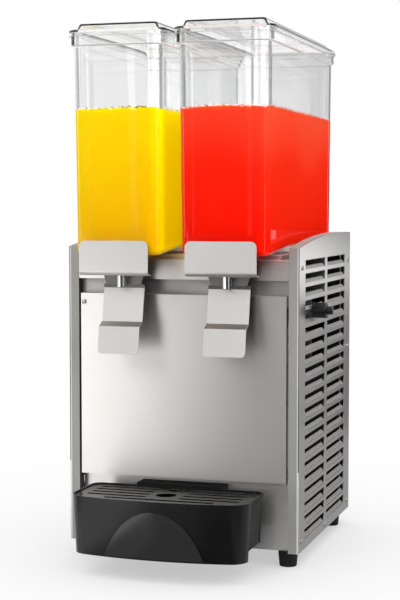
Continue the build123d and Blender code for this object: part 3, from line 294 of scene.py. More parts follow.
class Finish(Shading):
    """Node material built round one Principled shader."""

    def __init__(self, name, constants=None):
        self.material = bpy.data.materials.new(name)
        self.material.use_nodes = True
        super().__init__(self.material.node_tree)
        self.shader = self.tree.nodes["Principled BSDF"]
        self.base = Wire(self, self.shader.outputs[0])
        for socket, value in (constants or {}).items():
            self.shader.inputs[socket].default_value = value

    def vary(self, **values):
        """Feed the shader's sockets that change over the surface."""
        for name, value in values.items():
            self.feed(self.shader.inputs[name.replace("_", " ")], value)

    def spot(self):
        """Object coordinates."""
        return self.node("ShaderNodeTexCoord", out="Object")

    def axis(self, name):
        """One of the object coordinates."""
        return self.node("ShaderNodeSeparateXYZ", {}, {0: self.spot()}, out=name)

    def place(self, scale=(1, 1, 1)):
        """Object coordinates, stretched."""
        return self.node("ShaderNodeMapping", {}, {"Vector": self.spot(), "Scale": scale})

    def noise(self, place, scale, detail=3.0):
        """Soft noise between 0 and 1."""
        return self.node("ShaderNodeTexNoise", {}, {"Vector": place, "Scale": scale, "Detail": detail})

    def share(self, value, low, high, **settings):
        """Where a value lies between two others, from 0 to 1."""
        return self.node("ShaderNodeMapRange", settings, {0: value, 1: low, 2: high})

    def ramp(self, value, stops):
        """Colour picked by a value."""
        return self.node("ShaderNodeValToRGB", {"stops": stops}, {0: value})

    def tint(self, factor, tone, low, high):
        """Colour that goes from a darker to a lighter shade of one tone."""
        ends = {6: opaque(shade(tone, low)), 7: opaque(shade(tone, high))}
        return self.node("ShaderNodeMix", {"data_type": "RGBA"}, {0: factor, **ends}, out=2)

    def relief(self, value, depth, strength=1.0):
        """Raise the surface a little by a value."""
        bump = self.node("ShaderNodeBump", {}, {"Height": value, "Distance": depth, "Strength": strength})
        self.feed(self.shader.inputs["Normal"], bump)

    def mixed(self, factor, first, second):
        """Mix of two shaders."""
        return self.node("ShaderNodeMixShader", {}, {0: factor, 1: first, 2: second})

    def show(self, surface):
        """Make a shader the material's surface."""
        self.feed(self.tree.nodes["Material Output"].inputs["Surface"], surface)

    def pass_lamps(self, tint):
        """Let lamp light through a clear material instead of a dark shadow."""
        shadow = self.node("ShaderNodeLightPath", out="Is Shadow Ray")
        clear = self.node("ShaderNodeBsdfTransparent", {}, {"Color": tint})
        self.show(self.mixed(shadow, self.base, clear))

    def glow(self, tone, strength):
        """Shine without counting as a lamp."""
        self.show(self.node("ShaderNodeEmission", {}, {"Color": tone, "Strength": strength}))
        self.material.cycles.emission_sampling = "NONE"
        return self.material


def set_stops(ramp, stops):
    """Give a colour ramp its stops."""
    while len(ramp.elements) < len(stops):
        ramp.elements.new(1.0)
    for element, (place, value) in zip(ramp.elements, stops):
        element.position = place
        element.color = opaque(value)


def opaque(value):
    """Colour with full alpha."""
    return (*value, 1.0)


def shade(value, factor):
    """Colour made darker or lighter."""
    return tuple(min(channel * factor, 1.0) for channel in value)


def grey(value):
    """Neutral colour."""
    return (value, value, value)


def greys(*stops):
    """Stops of a ramp in neutral colours."""
    return [(place, grey(level)) for place, level in stops]


def brushed_metal(name, metal, roughness):
    """Brushed sheet: long scratches along X, with faint rolling bands and finger marks."""
    finish = Finish(name, {"Metallic": 1.0, "Anisotropic": 0.8, "Anisotropic Rotation": 0.25})
    grain = (5, 420, 420)
    streaks = finish.noise(finish.place(grain), 1.0, 4.0)
    fine = finish.noise(finish.place([4 * value for value in grain]), 1.0, 2.0)
    cloud = finish.noise(finish.place(), 14.0)
    scratch = streaks * 0.6 + fine * 0.4
    finish.vary(Base_Color=finish.tint(scratch, metal, 0.93, 1.06),
                Roughness=roughness + (scratch - 0.5) * 0.16 + (cloud - 0.5) * 0.05)
    finish.relief(scratch, 0.00002)
    return finish.material


def satin_metal(name, metal, roughness):
    """Fine bead-blasted sheet."""
    finish = Finish(name, {"Metallic": 1.0})
    grain = finish.noise(finish.place(), 2600.0, 2.0)
    cloud = finish.noise(finish.place(), 18.0)
    finish.vary(Base_Color=finish.tint(cloud, metal, 0.96, 1.04),
                Roughness=roughness + (grain - 0.5) * 0.1 + (cloud - 0.5) * 0.06)
    finish.relief(grain, 0.00001)
    return finish.material


def bright_metal(name, metal, roughness, glance=1.0):
    """Polished or plated metal with faint wiping marks, and its brightness at a glancing angle."""
    finish = Finish(name, {"Metallic": 1.0, "Specular Tint": opaque(grey(glance))})
    marks = finish.noise(finish.place((30, 30, 220)), 1.0, 4.0)
    finish.vary(Base_Color=finish.tint(marks, metal, 0.95, 1.0),
                Roughness=roughness + (marks - 0.5) * roughness)
    return finish.material


def cast_metal(name, metal, roughness, spangle):
    """Plain metal with a patchy surface, such as zinc or aluminium."""
    finish = Finish(name, {"Metallic": 1.0})
    cells = finish.node("ShaderNodeTexVoronoi", {}, {"Vector": finish.place(), "Scale": spangle},
                        out="Color")
    patch = finish.node("ShaderNodeSeparateColor", {}, {0: cells})
    finish.vary(Base_Color=finish.tint(patch, metal, 0.85, 1.1),
                Roughness=roughness + (patch - 0.5) * 0.15)
    return finish.material


def moulded_plastic(name, tone, roughness, grain_depth, shine=0.5, coat=0.0):
    """Moulded plastic or rubber with a fine grain and slightly uneven gloss."""
    finish = Finish(name, {"Coat Weight": coat, "Coat Roughness": 0.15, "Specular IOR Level": shine})
    grain = finish.noise(finish.place(), 1500.0, 2.0)
    cloud = finish.noise(finish.place(), 25.0)
    finish.vary(Base_Color=finish.tint(cloud, tone, 0.85, 1.15),
                Roughness=roughness + (cloud - 0.5) * 0.12 + (grain - 0.5) * 0.1)
    finish.relief(grain, grain_depth)
    return finish.material


def clear_plastic(name, tone, bend=1.45):
    """Clear moulded plastic with faint flow waves, and how far it bends light."""
    finish = Finish(name, {"Base Color": opaque(tone), "Transmission Weight": 1.0, "IOR": bend})
    waves = finish.noise(finish.place((18, 18, 5)), 1.0, 2.0)
    finish.vary(Roughness=waves * 0.03)
    finish.relief(waves, 0.0004, 0.2)
    finish.pass_lamps(opaque(shade(tone, 0.97)))
    return finish.material


def cloudy_drink(name, shades, low, high):
    """Cloudy drink, paler towards its surface."""
    finish = Finish(name, {"Subsurface Weight": 1.0, "Subsurface Radius": (1.0, 0.7, 0.3),
                           "Subsurface Scale": 0.02, "IOR": 1.34, "Specular IOR Level": 0.0})
    level = finish.share(finish.axis("Z"), low, high)
    cloud = finish.noise(finish.place((9, 9, 5)), 1.0)
    pulp = finish.noise(finish.place(), 420.0, 2.0)
    base = finish.ramp(level + (cloud - 0.5) * 0.4, list(zip((0.0, 0.6, 1.0), shades)))
    finish.vary(Base_Color=base, Roughness=0.25 + pulp * 0.2)
    return finish.material


def froth_finish(name, deep, top):
    """Bubbles at the drink's edge, some pale, some in the drink's colour near its surface, and some darker
    than its deepest colour as painted shade.
    """
    pale = tuple(0.7 + 0.3 * channel for channel in top)
    finish = Finish(name, {"Subsurface Weight": 0.2, "Subsurface Scale": 0.003, "IOR": 1.33})
    cloud = finish.noise(finish.place(), 260.0, 1.0)
    # The darkest stop, darker than the drink's deepest colour, is painted shade among the bubbles.
    base = finish.ramp(cloud, [(0.43, shade(deep, 0.3)), (0.46, top), (0.49, top), (0.52, pale)])
    finish.vary(Base_Color=base, Roughness=0.2 + cloud * 0.15)
    return finish.material


def make_finishes(metal):
    """All finishes by name: those of the record's material slots, and more for single faces and pieces.

    Each finish stands under its recipe, with the values that the recipe takes after the name.
    """
    steel = tuple(metal.steel)
    recipes = {
        brushed_metal: {
            "brushed_stainless": (steel, 0.37),
            # Darker brushed steel for the recessed front rail: painted shade
            "rail_stainless": (shade(steel, 0.68), 0.5),
        },
        satin_metal: {
            "side_stainless": (shade(steel, 0.92), 0.3),
            # Rougher steel for the side panels' folds and blades, darker than the side as painted shade
            "pillar_stainless": (shade(steel, 0.66), 0.8),
            "polished_stainless": (shade(steel, 0.82), 0.42),
            # Dark steel for the tap brackets and the shaded parts of the plates: painted shade
            "bracket_stainless": (shade(steel, 0.22), 0.42),
            # Pale rough steel on rounded edges: painted highlight
            "bright_edge": (grey(0.72), 0.8),
        },
        bright_metal: {
            # Dark steel for the drip grille: painted dark reflection
            "grille_stainless": (shade(steel, 0.36), 0.2, 0.6),
            "chrome": (grey(0.86), 0.06),
            "screw_steel": (shade(steel, 0.9), 0.22),
            "copper": (tuple(metal.copper), 0.4),
        },
        cast_metal: {
            # Very dark steel for thin lines along the side panels' edges: painted shade of the seam gap
            "edge_steel": (grey(0.1), 0.5, 200.0),
            # Very dark steel: painted shade on the cabinet's inside, the parts within it and the taps'
            # backs
            "inner_steel": (grey(0.05), 0.6, 150.0),
            "galvanised_steel": (tuple(metal.zinc), 0.42, 120.0),
            "magnet": (grey(0.2), 0.4, 300.0),
            "fin_aluminium": (grey(0.72), 0.35, 500.0),
        },
        clear_plastic: {
            "clear_plastic": ((0.93, 0.932, 0.932),),
            # Dark tint: painted shade along the tanks' front corners
            "clear_corner": ((0.25, 0.255, 0.26),),
            # Side walls beside the drinks: tints darker than the clear plastic, painted shade on the
            # drinks' sides
            "left_clear_dull": ((0.76, 0.762, 0.762), 1.05),
            "right_clear_dull": ((0.42, 0.422, 0.422), 1.05),
        },
        moulded_plastic: {
            "black_plastic": (grey(0.006), 0.24, 0.00002, 0.4),
            "black_rubber": (grey(0.005), 0.5, 0.00003, 0.25),
            "matt_black": (grey(0.003), 0.6, 0.00002, 0.15),
            "shield_plastic": (grey(0.013), 0.14, 0.00001, 0.8),
            "frosted_plastic": (grey(0.8), 0.5, 0.00002),
            "filter_foam": (grey(0.004), 0.9, 0.0004, 0.1),
            "white_rubber": ((0.74, 0.73, 0.7), 0.5, 0.00002),
            "white_plastic": ((0.8, 0.8, 0.78), 0.35, 0.00001),
            "black_enamel": (grey(0.012), 0.25, 0.00001, 0.5, 0.6),
        },
    }
    return {name: recipe(name, *values) for recipe, finishes in recipes.items()
            for name, values in finishes.items()}


FINISHES = {}


def finish_of(name):
    """Finish by its name, all of them made on first use."""
    if not FINISHES:
        FINISHES.update(make_finishes(bpy.context.scene.dispenser_metal))
    return FINISHES[name]


def body_of(node):
    """CAD body that holds a node."""
    return NODES[node]["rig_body"]


def width_of(node):
    """Width of a node from left to right."""
    low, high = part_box(node)
    return high.x - low.x


def placed(name, data):
    """New object in the scene for a mesh, a lamp or a camera."""
    thing = bpy.data.objects.new(name, data)
    bpy.context.scene.collection.objects.link(thing)
    return thing


def bare_mesh(bm, name):
    """Mesh of what was built, as it is."""
    mesh = bpy.data.meshes.new(name)
    bm.to_mesh(mesh)
    bm.free()
    return mesh


def plain_mesh(holder, name):
    """Mesh of an object with its modifiers applied; the object goes."""
    bpy.context.scene.collection.objects.link(holder)
    graph = bpy.context.evaluated_depsgraph_get()
    mesh = bpy.data.meshes.new_from_object(holder.evaluated_get(graph))
    mesh.name = name
    bpy.data.objects.remove(holder)
    return mesh


def smooth_mesh(bm, name):
    """Smooth-shaded mesh with hard creases and normals weighted to its large faces."""
    mesh = bare_mesh(bm, name)
    if "custom_normal" in mesh.attributes:
        mesh.attributes.remove(mesh.attributes["custom_normal"])
    hard = [edge.index for edge in mesh.edges if edge.use_edge_sharp]
    mesh.shade_smooth()
    mesh.set_sharp_from_angle(angle=CREASE)
    for index in hard:
        mesh.edges[index].use_edge_sharp = True
    holder = bpy.data.objects.new(name, mesh)
    holder.modifiers.new("normals", "WEIGHTED_NORMAL").keep_sharp = True
    return plain_mesh(holder, name)


def dressed(name, mesh, node, finish=None):
    """Object for a finished mesh that rides with a node's body and stands for the node."""
    thing = placed(name, mesh)
    mesh.materials.clear()
    mesh.materials.append(finish or finish_of(SLOTS[node]))
    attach(thing, body_of(node))
    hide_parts(node)
    return thing


def paint(node, finish=None):
    """Keep a node's own shape and give it a finish."""
    materials = NODES[node].data.materials
    materials.clear()
    materials.append(finish or finish_of(SLOTS[node]))


def merged(node):
    """Copy of a node's mesh with its loose triangles joined."""
    bm = bmesh.new()
    bm.from_mesh(NODES[node].data)
    bmesh.ops.remove_doubles(bm, verts=bm.verts[:], dist=WELD)
    return bm


def softened(node, edge, finish=None, reshape=None, rim=None):
    """Copy of a node with its sharp edges rounded, in the node's place, reshaped first where asked.

    The rounded edges can have a finish of their own, the rim.
    """
    bm = merged(node)
    bmesh.ops.dissolve_limit(bm, angle_limit=FLAT, verts=bm.verts[:], edges=bm.edges[:])
    for line in bm.edges:
        line.smooth = True
    if reshape:
        reshape(bm)
    sharp = [e for e in bm.edges if len(e.link_faces) == 2 and e.calc_face_angle() > CREASE]
    rounded = bmesh.ops.bevel(bm, geom=sharp, offset=edge, offset_type="OFFSET", segments=EDGE_STEPS,
                              profile=0.5, affect="EDGES", clamp_overlap=True)["faces"]
    bm.faces.index_update()
    rims = [face.index for face in rounded]
    thing = dressed(f"{node}_skin", smooth_mesh(bm, f"{node}_skin"), node, finish)
    if rim:
        refinish(thing.data, rim, lambda face: face.index in rims)
    return thing


def refinish(mesh, finish, chosen):
    """Give the faces that a test picks another finish."""
    mesh.materials.append(finish)
    for face in mesh.polygons:
        if chosen(face):
            face.material_index = len(mesh.materials) - 1


def paint_shade_on_side(mesh, towards):
    """Give the faces that look one way a dark dull finish, painted shade for the inside of the cabinet and
    the backs of the taps.
    """
    way = Vector(towards)
    refinish(mesh, finish_of("inner_steel"), lambda face: face.normal.dot(way) > 0.5)


def cut(bm, place, normal):
    """Cut every face of a mesh along a plane, with its shape as it was."""
    bmesh.ops.bisect_plane(bm, geom=bm.verts[:] + bm.edges[:] + bm.faces[:], dist=WELD,
                           plane_co=place, plane_no=normal)


def rounded_profile(corners):
    """Profile through corner points, each (across, up, radius), with the corners rounded off."""
    points = []
    for i, (across, up, radius) in enumerate(corners):
        corner = Vector((across, up))
        if radius == 0:
            points.append(corner)
            continue
        before = (Vector(corners[i - 1][:2]) - corner).normalized()
        after = (Vector(corners[i + 1][:2]) - corner).normalized()
        half = before.angle(after) / 2
        centre = corner + (before + after).normalized() * radius / math.sin(half)
        reach = radius / math.tan(half)
        start = (corner + before * reach - centre).normalized()
        end = (corner + after * reach - centre).normalized()
        points += [centre + start.slerp(end, step / ARC_STEPS) * radius for step in range(ARC_STEPS + 1)]
    return points


def ring_edges(bm, points):
    """Closed ring of new vertices."""
    verts = [bm.verts.new(point) for point in points]
    edges = [bm.edges.new((verts[i - 1], verts[i])) for i in range(len(verts))]
    return verts, edges


def skin(bm, rings):
    """Faces between rings of equally many vertices."""
    for low, high in zip(rings, rings[1:]):
        for i in range(len(low)):
            bm.faces.new((low[i - 1], low[i], high[i], high[i - 1]))


def loft(bm, rows):
    """Skin through rows of points, and the first and last rows' vertices."""
    rings = [[bm.verts.new(point) for point in row] for row in rows]
    skin(bm, rings)
    return rings[0], rings[-1]


def edges_of(ring):
    """Edges along a closed ring of vertices."""
    found = []
    for i, vert in enumerate(ring):
        shared = set(ring[i - 1].link_edges) & set(vert.link_edges)
        found.append(shared.pop())
    return found


def circle(centre_x, centre_y, radius, heights):
    """Points round a circle, with their height from a function of Y."""
    points = []
    for step in range(CIRCLE_STEPS):
        turn = math.tau * step / CIRCLE_STEPS
        x = centre_x + radius * math.cos(turn)
        y = centre_y + radius * math.sin(turn)
        points.append((x, y, heights(y)))
    return points


def closed_up(bm):
    """Make the faces of a closed mesh point outwards."""
    bmesh.ops.remove_doubles(bm, verts=bm.verts[:], dist=WELD)
    bmesh.ops.recalc_face_normals(bm, faces=bm.faces[:])


def rounded_ring(half_x, front, rear, corner, breaks, end_breaks):
    """Points round a rounded rectangle, with the given extra ones along its long sides and ends."""
    points = [(half_x, y) for y in breaks]
    centres = ((half_x - corner, rear - corner), (corner - half_x, rear - corner),
               (corner - half_x, front + corner), (half_x - corner, front + corner))
    for quarter, (x, y) in enumerate(centres):
        for step in range(CORNER_STEPS + 1):
            turn = (quarter + step / CORNER_STEPS) * math.pi / 2
            points.append((x + corner * math.cos(turn), y + corner * math.sin(turn)))
        if quarter == 0:
            points += [(x_break, rear) for x_break in reversed(end_breaks)]
        if quarter == 1:
            points += [(-half_x, y_break) for y_break in reversed(breaks)]
        if quarter == 2:
            points += [(x_break, front) for x_break in end_breaks]
    return points


class TankShape:
    """Outline of one drafted tank, from its packed box and the tank sizes."""

    def __init__(self, side, sizes, inside=False):
        low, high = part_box(f"{side}_tank")
        self.sizes = sizes
        self.corner = sizes.inner_corner + sizes.wall if inside else sizes.corner
        self.middle = (low.x + high.x) / 2
        self.top = high.z
        self.level = high.z - sizes.height
        self.front_level = self.level - sizes.ramp_drop
        self.collar = high.z - sizes.collar_height
        rise = self.collar - self.front_level
        self.half = (high.x - low.x) / 2 - sizes.collar_out - rise * sizes.side_draft
        self.front = low.y + sizes.collar_out + rise * sizes.front_draft
        self.rear = high.y - sizes.collar_out - rise * sizes.rear_draft
        self.ramp_end = self.front + sizes.ramp_length
        self.end_breaks = [self.half * step for step in (-0.6, -0.3, 0, 0.3, 0.6)]
        self.dome_y = sum(corner.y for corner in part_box(f"{side}_evaporator")) / 2
        self.outlet_y = sum(corner.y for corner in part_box(f"{side}_seat_nut")) / 2

    def floor(self, y):
        """Height of the floor's underside, which ramps down to the front."""
        slope = self.sizes.ramp_drop / self.sizes.ramp_length
        return self.level - slope * max(self.ramp_end - y, 0)

    def outline(self, z, out):
        """Points in plan at a height, moved out from the wall."""
        rise = min(z, self.collar) - self.front_level
        half = self.half + rise * self.sizes.side_draft + out
        front = self.front - rise * self.sizes.front_draft - out
        rear = self.rear + rise * self.sizes.rear_draft + out
        corner = max(self.corner + out, self.sizes.wall)
        points = rounded_ring(half, front, rear, corner, (self.ramp_end,), self.end_breaks)
        return [(x + self.middle, y) for x, y in points]

    def level_ring(self, z, out):
        """Ring at one height."""
        return [(x, y, z) for x, y in self.outline(z, out)]

    def surface_ring(self, look, z, out):
        """Ring along the drink's stirred surface near a height."""
        points = []
        for x, y in self.outline(z, out):
            across = (x - self.middle) / self.half - look.crest
            swell = look.swell * (1 - look.fall * across * across)
            slant = math.sin(RIPPLE_ALONG * y + RIPPLE_SLANT * x)
            ripple = look.ripple * (math.sin(RIPPLE_ACROSS * x) + slant)
            points.append((x, y, z + swell + ripple))
        return points

    def floor_ring(self, lift, out):
        """Ring that follows the floor at a lift."""
        return [(x, y, self.floor(y) + lift) for x, y in self.outline(self.level, out)]

    def floor_rings(self, inset, lift, radius):
        """Rings of the rounding between the floor and the walls, from the floor up."""
        rings = []
        for step in range(ARC_STEPS + 1):
            turn = math.pi / 2 * step / ARC_STEPS
            rings.append(self.floor_ring(lift + radius * (1 - math.cos(turn)),
                                         -inset - radius * (1 - math.sin(turn))))
        return rings

    def close_floor(self, bm, ring, lift, dome_r, outlet_r):
        """Fill the floor inside a ring, in its level and sloping parts, round the two holes."""
        right = next(v for v in ring if v.co.x > self.middle and abs(v.co.y - self.ramp_end) < WELD)
        left = next(v for v in ring if v.co.x < self.middle and abs(v.co.y - self.ramp_end) < WELD)
        crease = bm.edges.new((left, right))
        edges = edges_of(ring)
        holes = []
        for y, radius, in_front in ((self.dome_y, dome_r, False), (self.outlet_y, outlet_r, True)):
            points = circle(self.middle, y, radius, lambda place: self.floor(place) + lift)
            hole, hole_edges = ring_edges(bm, points)
            part = [e for e in edges if (sum(v.co.y for v in e.verts) / 2 < self.ramp_end) == in_front]
            bmesh.ops.triangle_fill(bm, use_beauty=True, edges=part + [crease] + hole_edges)
            holes.append(hole)
        return holes


def tank_mesh(side, sizes, name):
    """Clear tank: rounded floor, drafted walls, collar and rim, with the dome's and outlet's holes."""
    shape = TankShape(side, sizes)
    hollow = TankShape(side, sizes, inside=True)
    wall = sizes.wall
    collar = [(0, shape.collar, COLLAR_ROUND),
              (sizes.collar_out, shape.collar + sizes.collar_slope, COLLAR_EDGE),
              (sizes.collar_out, shape.top, RIM_EDGE), (-wall, shape.top, RIM_EDGE),
              (-wall, shape.collar, 0)]
    start = (0, shape.level + 2 * sizes.floor_round, 0)
    drink_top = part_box(f"{side}_juice")[1].z
    profile = rounded_profile([start, (0, drink_top, 0)] + collar)
    bm = bmesh.new()
    rows = shape.floor_rings(0, 0, sizes.floor_round)
    rows += [(hollow if point.x < -wall / 2 else shape).level_ring(point.y, point.x) for point in profile]
    inner = hollow.floor_rings(wall, wall, sizes.floor_round - wall / 2)
    rows += [hollow.level_ring(z, -wall) for z in (drink_top, start[1])] + inner[::-1]
    low, high = loft(bm, rows)
    outlet_r = width_of(f"{side}_seat_nut") / 3
    dome_r = DOME_HOLE * width_of(f"{side}_tank_gasket") / 2
    lower = shape.close_floor(bm, low, 0, dome_r, outlet_r)
    upper = shape.close_floor(bm, high, wall, dome_r, outlet_r)
    for under, over in zip(lower, upper):
        skin(bm, [under, over])
    closed_up(bm)
    return smooth_mesh(bm, name)


def lid_mesh(shape, sizes, name):
    """Clear lid: lip round the collar, flat rim and raised deck with sloping sides, hollow below."""
    lip_in = shape.sizes.collar_out + sizes.lip_gap
    lip_out = lip_in + sizes.lip_wall
    deck_top = sizes.plate + sizes.deck_rise
    deck_edge = -sizes.deck_in - sizes.deck_slope
    edge = sizes.edge
    corners = [(deck_edge - 4 * edge, deck_top, 0), (deck_edge, deck_top, edge),
               (-sizes.deck_in, sizes.plate, edge / 2), (lip_out, sizes.plate, edge),
               (lip_out, -sizes.lip_drop, edge / 2), (lip_in, -sizes.lip_drop, edge / 2),
               (lip_in, 0, edge / 3), (-sizes.deck_in - sizes.plate, 0, edge / 2),
               (deck_edge - sizes.plate, deck_top - sizes.plate, edge / 2),
               (deck_edge - sizes.plate - 4 * edge, deck_top - sizes.plate, 0)]
    bm = bmesh.new()
    rows = [[(x, y, shape.top + point.y) for x, y in shape.outline(shape.collar, point.x)]
            for point in rounded_profile(corners)]
    for ring in loft(bm, rows):
        bm.faces.new(ring)
    closed_up(bm)
    return smooth_mesh(bm, name)


def drink_mesh(shape, look, top, bores, name):
    """Drink that fills the tank to its level, with a raised edge, clear of the dome and the outlet."""
    inset = shape.sizes.wall - look.soak
    climb = look.meniscus
    bm = bmesh.new()
    rows = shape.floor_rings(inset, inset, shape.sizes.floor_round - shape.sizes.wall / 2)
    rows += [shape.level_ring(shape.level + 2 * shape.sizes.floor_round, -inset),
             shape.surface_ring(look, top - climb, -inset), shape.surface_ring(look, top, -inset),
             shape.surface_ring(look, top - 0.7 * climb, -inset - climb),
             shape.surface_ring(look, top - climb, -inset - 3 * climb)]
    low, high = loft(bm, rows)
    bm.faces.new(high)
    holes = shape.close_floor(bm, low, inset, bores[0][0], bores[1][0])
    for hole, (_, bore_top) in zip(holes, bores):
        ceiling = [bm.verts.new((v.co.x, v.co.y, bore_top)) for v in hole]
        skin(bm, [hole, ceiling])
        bm.faces.new(ceiling)
    closed_up(bm)
    return smooth_mesh(bm, name)


class NodeTree:
    """Geometry Nodes tree under construction, with named inputs."""

    def __init__(self, name, inputs):
        self.tree = bpy.data.node_groups.new(name, "GeometryNodeTree")
        face = self.tree.interface
        face.new_socket("Geometry", in_out="OUTPUT", socket_type="NodeSocketGeometry")
        self.names = {}
        for label, kind in inputs.items():
            socket = face.new_socket(label, in_out="INPUT", socket_type=f"NodeSocket{kind}")
            self.names[label] = socket.identifier
        self.inputs = self.tree.nodes.new("NodeGroupInput").outputs

    def node(self, kind, settings=None, sockets=None):
        """Add a node with its settings, and its socket values or links."""
        made = self.tree.nodes.new(kind)
        for key, value in (settings or {}).items():
            setattr(made, key, value)
        for key, value in (sockets or {}).items():
            if isinstance(value, bpy.types.NodeSocket):
                self.tree.links.new(value, made.inputs[key])
            else:
                made.inputs[key].default_value = value
        return made

    def finish(self, geometry):
        """End the tree in one real mesh with its material."""
        real = self.node("GeometryNodeRealizeInstances", {}, {"Geometry": geometry})
        painted = self.node("GeometryNodeSetMaterial", {},
                            {"Geometry": real.outputs[0], "Material": self.inputs["Finish"]})
        out = self.tree.nodes.new("NodeGroupOutput")
        self.tree.links.new(painted.outputs[0], out.inputs[0])

    def run(self, mesh, values, name):
        """Plain mesh that the tree makes from a mesh and input values."""
        holder = bpy.data.objects.new(name, mesh)
        modifier = holder.modifiers.new(name, "NODES")
        modifier.node_group = self.tree
        for label, value in values.items():
            modifier[self.names[label]] = value
        return plain_mesh(holder, name)


def repeat_tree():
    """Tree that sets one part on every point, turned to face along the point's own direction."""
    tree = NodeTree("set_on_points", {"Geometry": "Geometry", "Part": "Object", "Finish": "Material",
                                      "Size": "Float"})
    part = tree.node("GeometryNodeObjectInfo", {}, {"Object": tree.inputs["Part"]})
    facing = tree.node("GeometryNodeInputNamedAttribute", {"data_type": "FLOAT_VECTOR"}, {"Name": "facing"})
    turn = tree.node("FunctionNodeAlignRotationToVector", {"axis": "Z"}, {"Vector": facing.outputs[0]})
    copies = tree.node("GeometryNodeInstanceOnPoints", {},
                       {"Points": tree.inputs["Geometry"], "Instance": part.outputs["Geometry"],
                        "Rotation": turn.outputs[0], "Scale": tree.inputs["Size"]})
    tree.finish(copies.outputs[0])
    return tree


def froth_tree():
    """Tree that strews bubbles of mixed size along an edge."""
    tree = NodeTree("froth", {"Geometry": "Geometry", "Finish": "Material", "Count": "Int",
                              "Largest": "Float", "Seed": "Int"})
    curve = tree.node("GeometryNodeMeshToCurve", {}, {0: tree.inputs["Geometry"]})
    points = tree.node("GeometryNodeCurveToPoints", {"mode": "COUNT"},
                       {"Curve": curve.outputs[0], "Count": tree.inputs["Count"]})
    stray = tree.node("FunctionNodeRandomValue", {"data_type": "FLOAT_VECTOR"},
                      {0: FROTH_STRAY[0], 1: FROTH_STRAY[1], "Seed": tree.inputs["Seed"]})
    moved = tree.node("GeometryNodeSetPosition", {},
                      {"Geometry": points.outputs[0], "Offset": stray.outputs[0]})
    bubble = tree.node("GeometryNodeMeshIcoSphere", {},
                       {"Radius": tree.inputs["Largest"], "Subdivisions": 2})
    size = tree.node("FunctionNodeRandomValue", {"data_type": "FLOAT"},
                     {2: FROTH_SMALLEST, 3: 1.0, "Seed": tree.inputs["Seed"]})
    copies = tree.node("GeometryNodeInstanceOnPoints", {},
                       {"Points": moved.outputs[0], "Instance": bubble.outputs[0],
                        "Scale": size.outputs[1]})
    smooth = tree.node("GeometryNodeSetShadeSmooth", {}, {0: copies.outputs[0]})
    tree.finish(smooth.outputs[0])
    return tree


def spring_tree():
    """Tree that winds a wire into a spring along Z, from the origin up."""
    tree = NodeTree("wound_wire", {"Geometry": "Geometry", "Finish": "Material", "Turns": "Float",
                                   "Radius": "Float", "Wire": "Float", "Length": "Float"})
    coil = tree.node("GeometryNodeCurveSpiral", {},
                     {"Resolution": 32, "Rotations": tree.inputs["Turns"], "Height": tree.inputs["Length"],
                      "Start Radius": tree.inputs["Radius"], "End Radius": tree.inputs["Radius"]})
    wire = tree.node("GeometryNodeCurvePrimitiveCircle", {},
                     {"Resolution": 10, "Radius": tree.inputs["Wire"]})
    tube = tree.node("GeometryNodeCurveToMesh", {},
                     {"Curve": coil.outputs[0], "Profile Curve": wire.outputs[0], "Fill Caps": True})
    tree.finish(tube.outputs[0])
    return tree


def islands(node):
    """Boxes of a node's separate solids, each as its lowest and highest corner."""
    bm = merged(node)
    seen = set()
    boxes = []
    for first in bm.verts:
        if first in seen:
            continue
        seen.add(first)
        group = [first]
        for vert in group:
            beside = [edge.other_vert(vert) for edge in vert.link_edges]
            group += [other for other in beside if other not in seen]
            seen.update(beside)
        spans = [[vert.co[axis] for vert in group] for axis in range(3)]
        boxes.append((Vector(map(min, spans)), Vector(map(max, spans))))
    bm.free()
    return boxes


def cut_out(mesh, cutter, name):
    """Mesh with another mesh's shape cut out of it."""
    tool = placed(f"{name}_cutter", cutter)
    holder = bpy.data.objects.new(name, mesh)
    modifier = holder.modifiers.new("cut", "BOOLEAN")
    modifier.object = tool
    modifier.solver = "EXACT"
    modifier.use_self = True
    made = plain_mesh(holder, name)
    bpy.data.objects.remove(tool)
    return made


# Width of the screws' cross recess at its bottom and above its top, as shares of its width
CROSS_TAPER = (0.7, 1.15)


def cross_cutter(reach, width, depth, top):
    """Crossed tapering blades that cut a screw's recess."""
    bm = bmesh.new()
    for turn in (0, math.pi / 2):
        blade = bmesh.ops.create_cube(bm, size=1.0)["verts"]
        for vert in blade:
            taper = CROSS_TAPER[vert.co.z > 0]
            vert.co = Vector((vert.co.x * 2 * reach * taper, vert.co.y * width * taper,
                              top + vert.co.z * 2 * depth))
        bmesh.ops.rotate(bm, verts=blade, cent=(0, 0, 0), matrix=Matrix.Rotation(turn, 3, "Z"))
    return bare_mesh(bm, "cross")


def screw_part(radius, height, shank):
    """Pan-head screw with a cross recess: its seat at the origin, its head towards +Z."""
    core = radius / 2
    corners = [(core / 4, -shank, 0), (core, -shank, core / 3), (core, 0, 0), (radius, 0, 0.0003),
               (radius * 0.96, height * 0.55, height * 0.35), (radius * 0.3, height, 0.0003),
               (core / 4, height, 0)]
    head = turned_part(corners, "screw_head")
    return cut_out(head, cross_cutter(radius * 0.52, radius * 0.24, height * 0.55, height), "screw")


def point_mesh(name, places):
    """Mesh of bare points, each with the direction that it faces."""
    mesh = bpy.data.meshes.new(name)
    mesh.from_pydata([place for place, _ in places], [], [])
    facing = mesh.attributes.new("facing", "FLOAT_VECTOR", "POINT")
    for item, (_, direction) in zip(facing.data, places):
        item.vector = direction
    return mesh


def set_on_points(part, places, name, node):
    """Stand for a node with one real mesh of a part that is set on several places."""
    holder = bpy.data.objects.new(f"{name}_part", part)
    values = {"Part": holder, "Finish": finish_of(SLOTS[node]), "Size": 1.0}
    mesh = repeat_tree().run(point_mesh(name, places), values, name)
    bpy.data.objects.remove(holder)
    mesh.shade_smooth()
    mesh.set_sharp_from_angle(angle=CREASE)
    dressed(name, mesh, node)


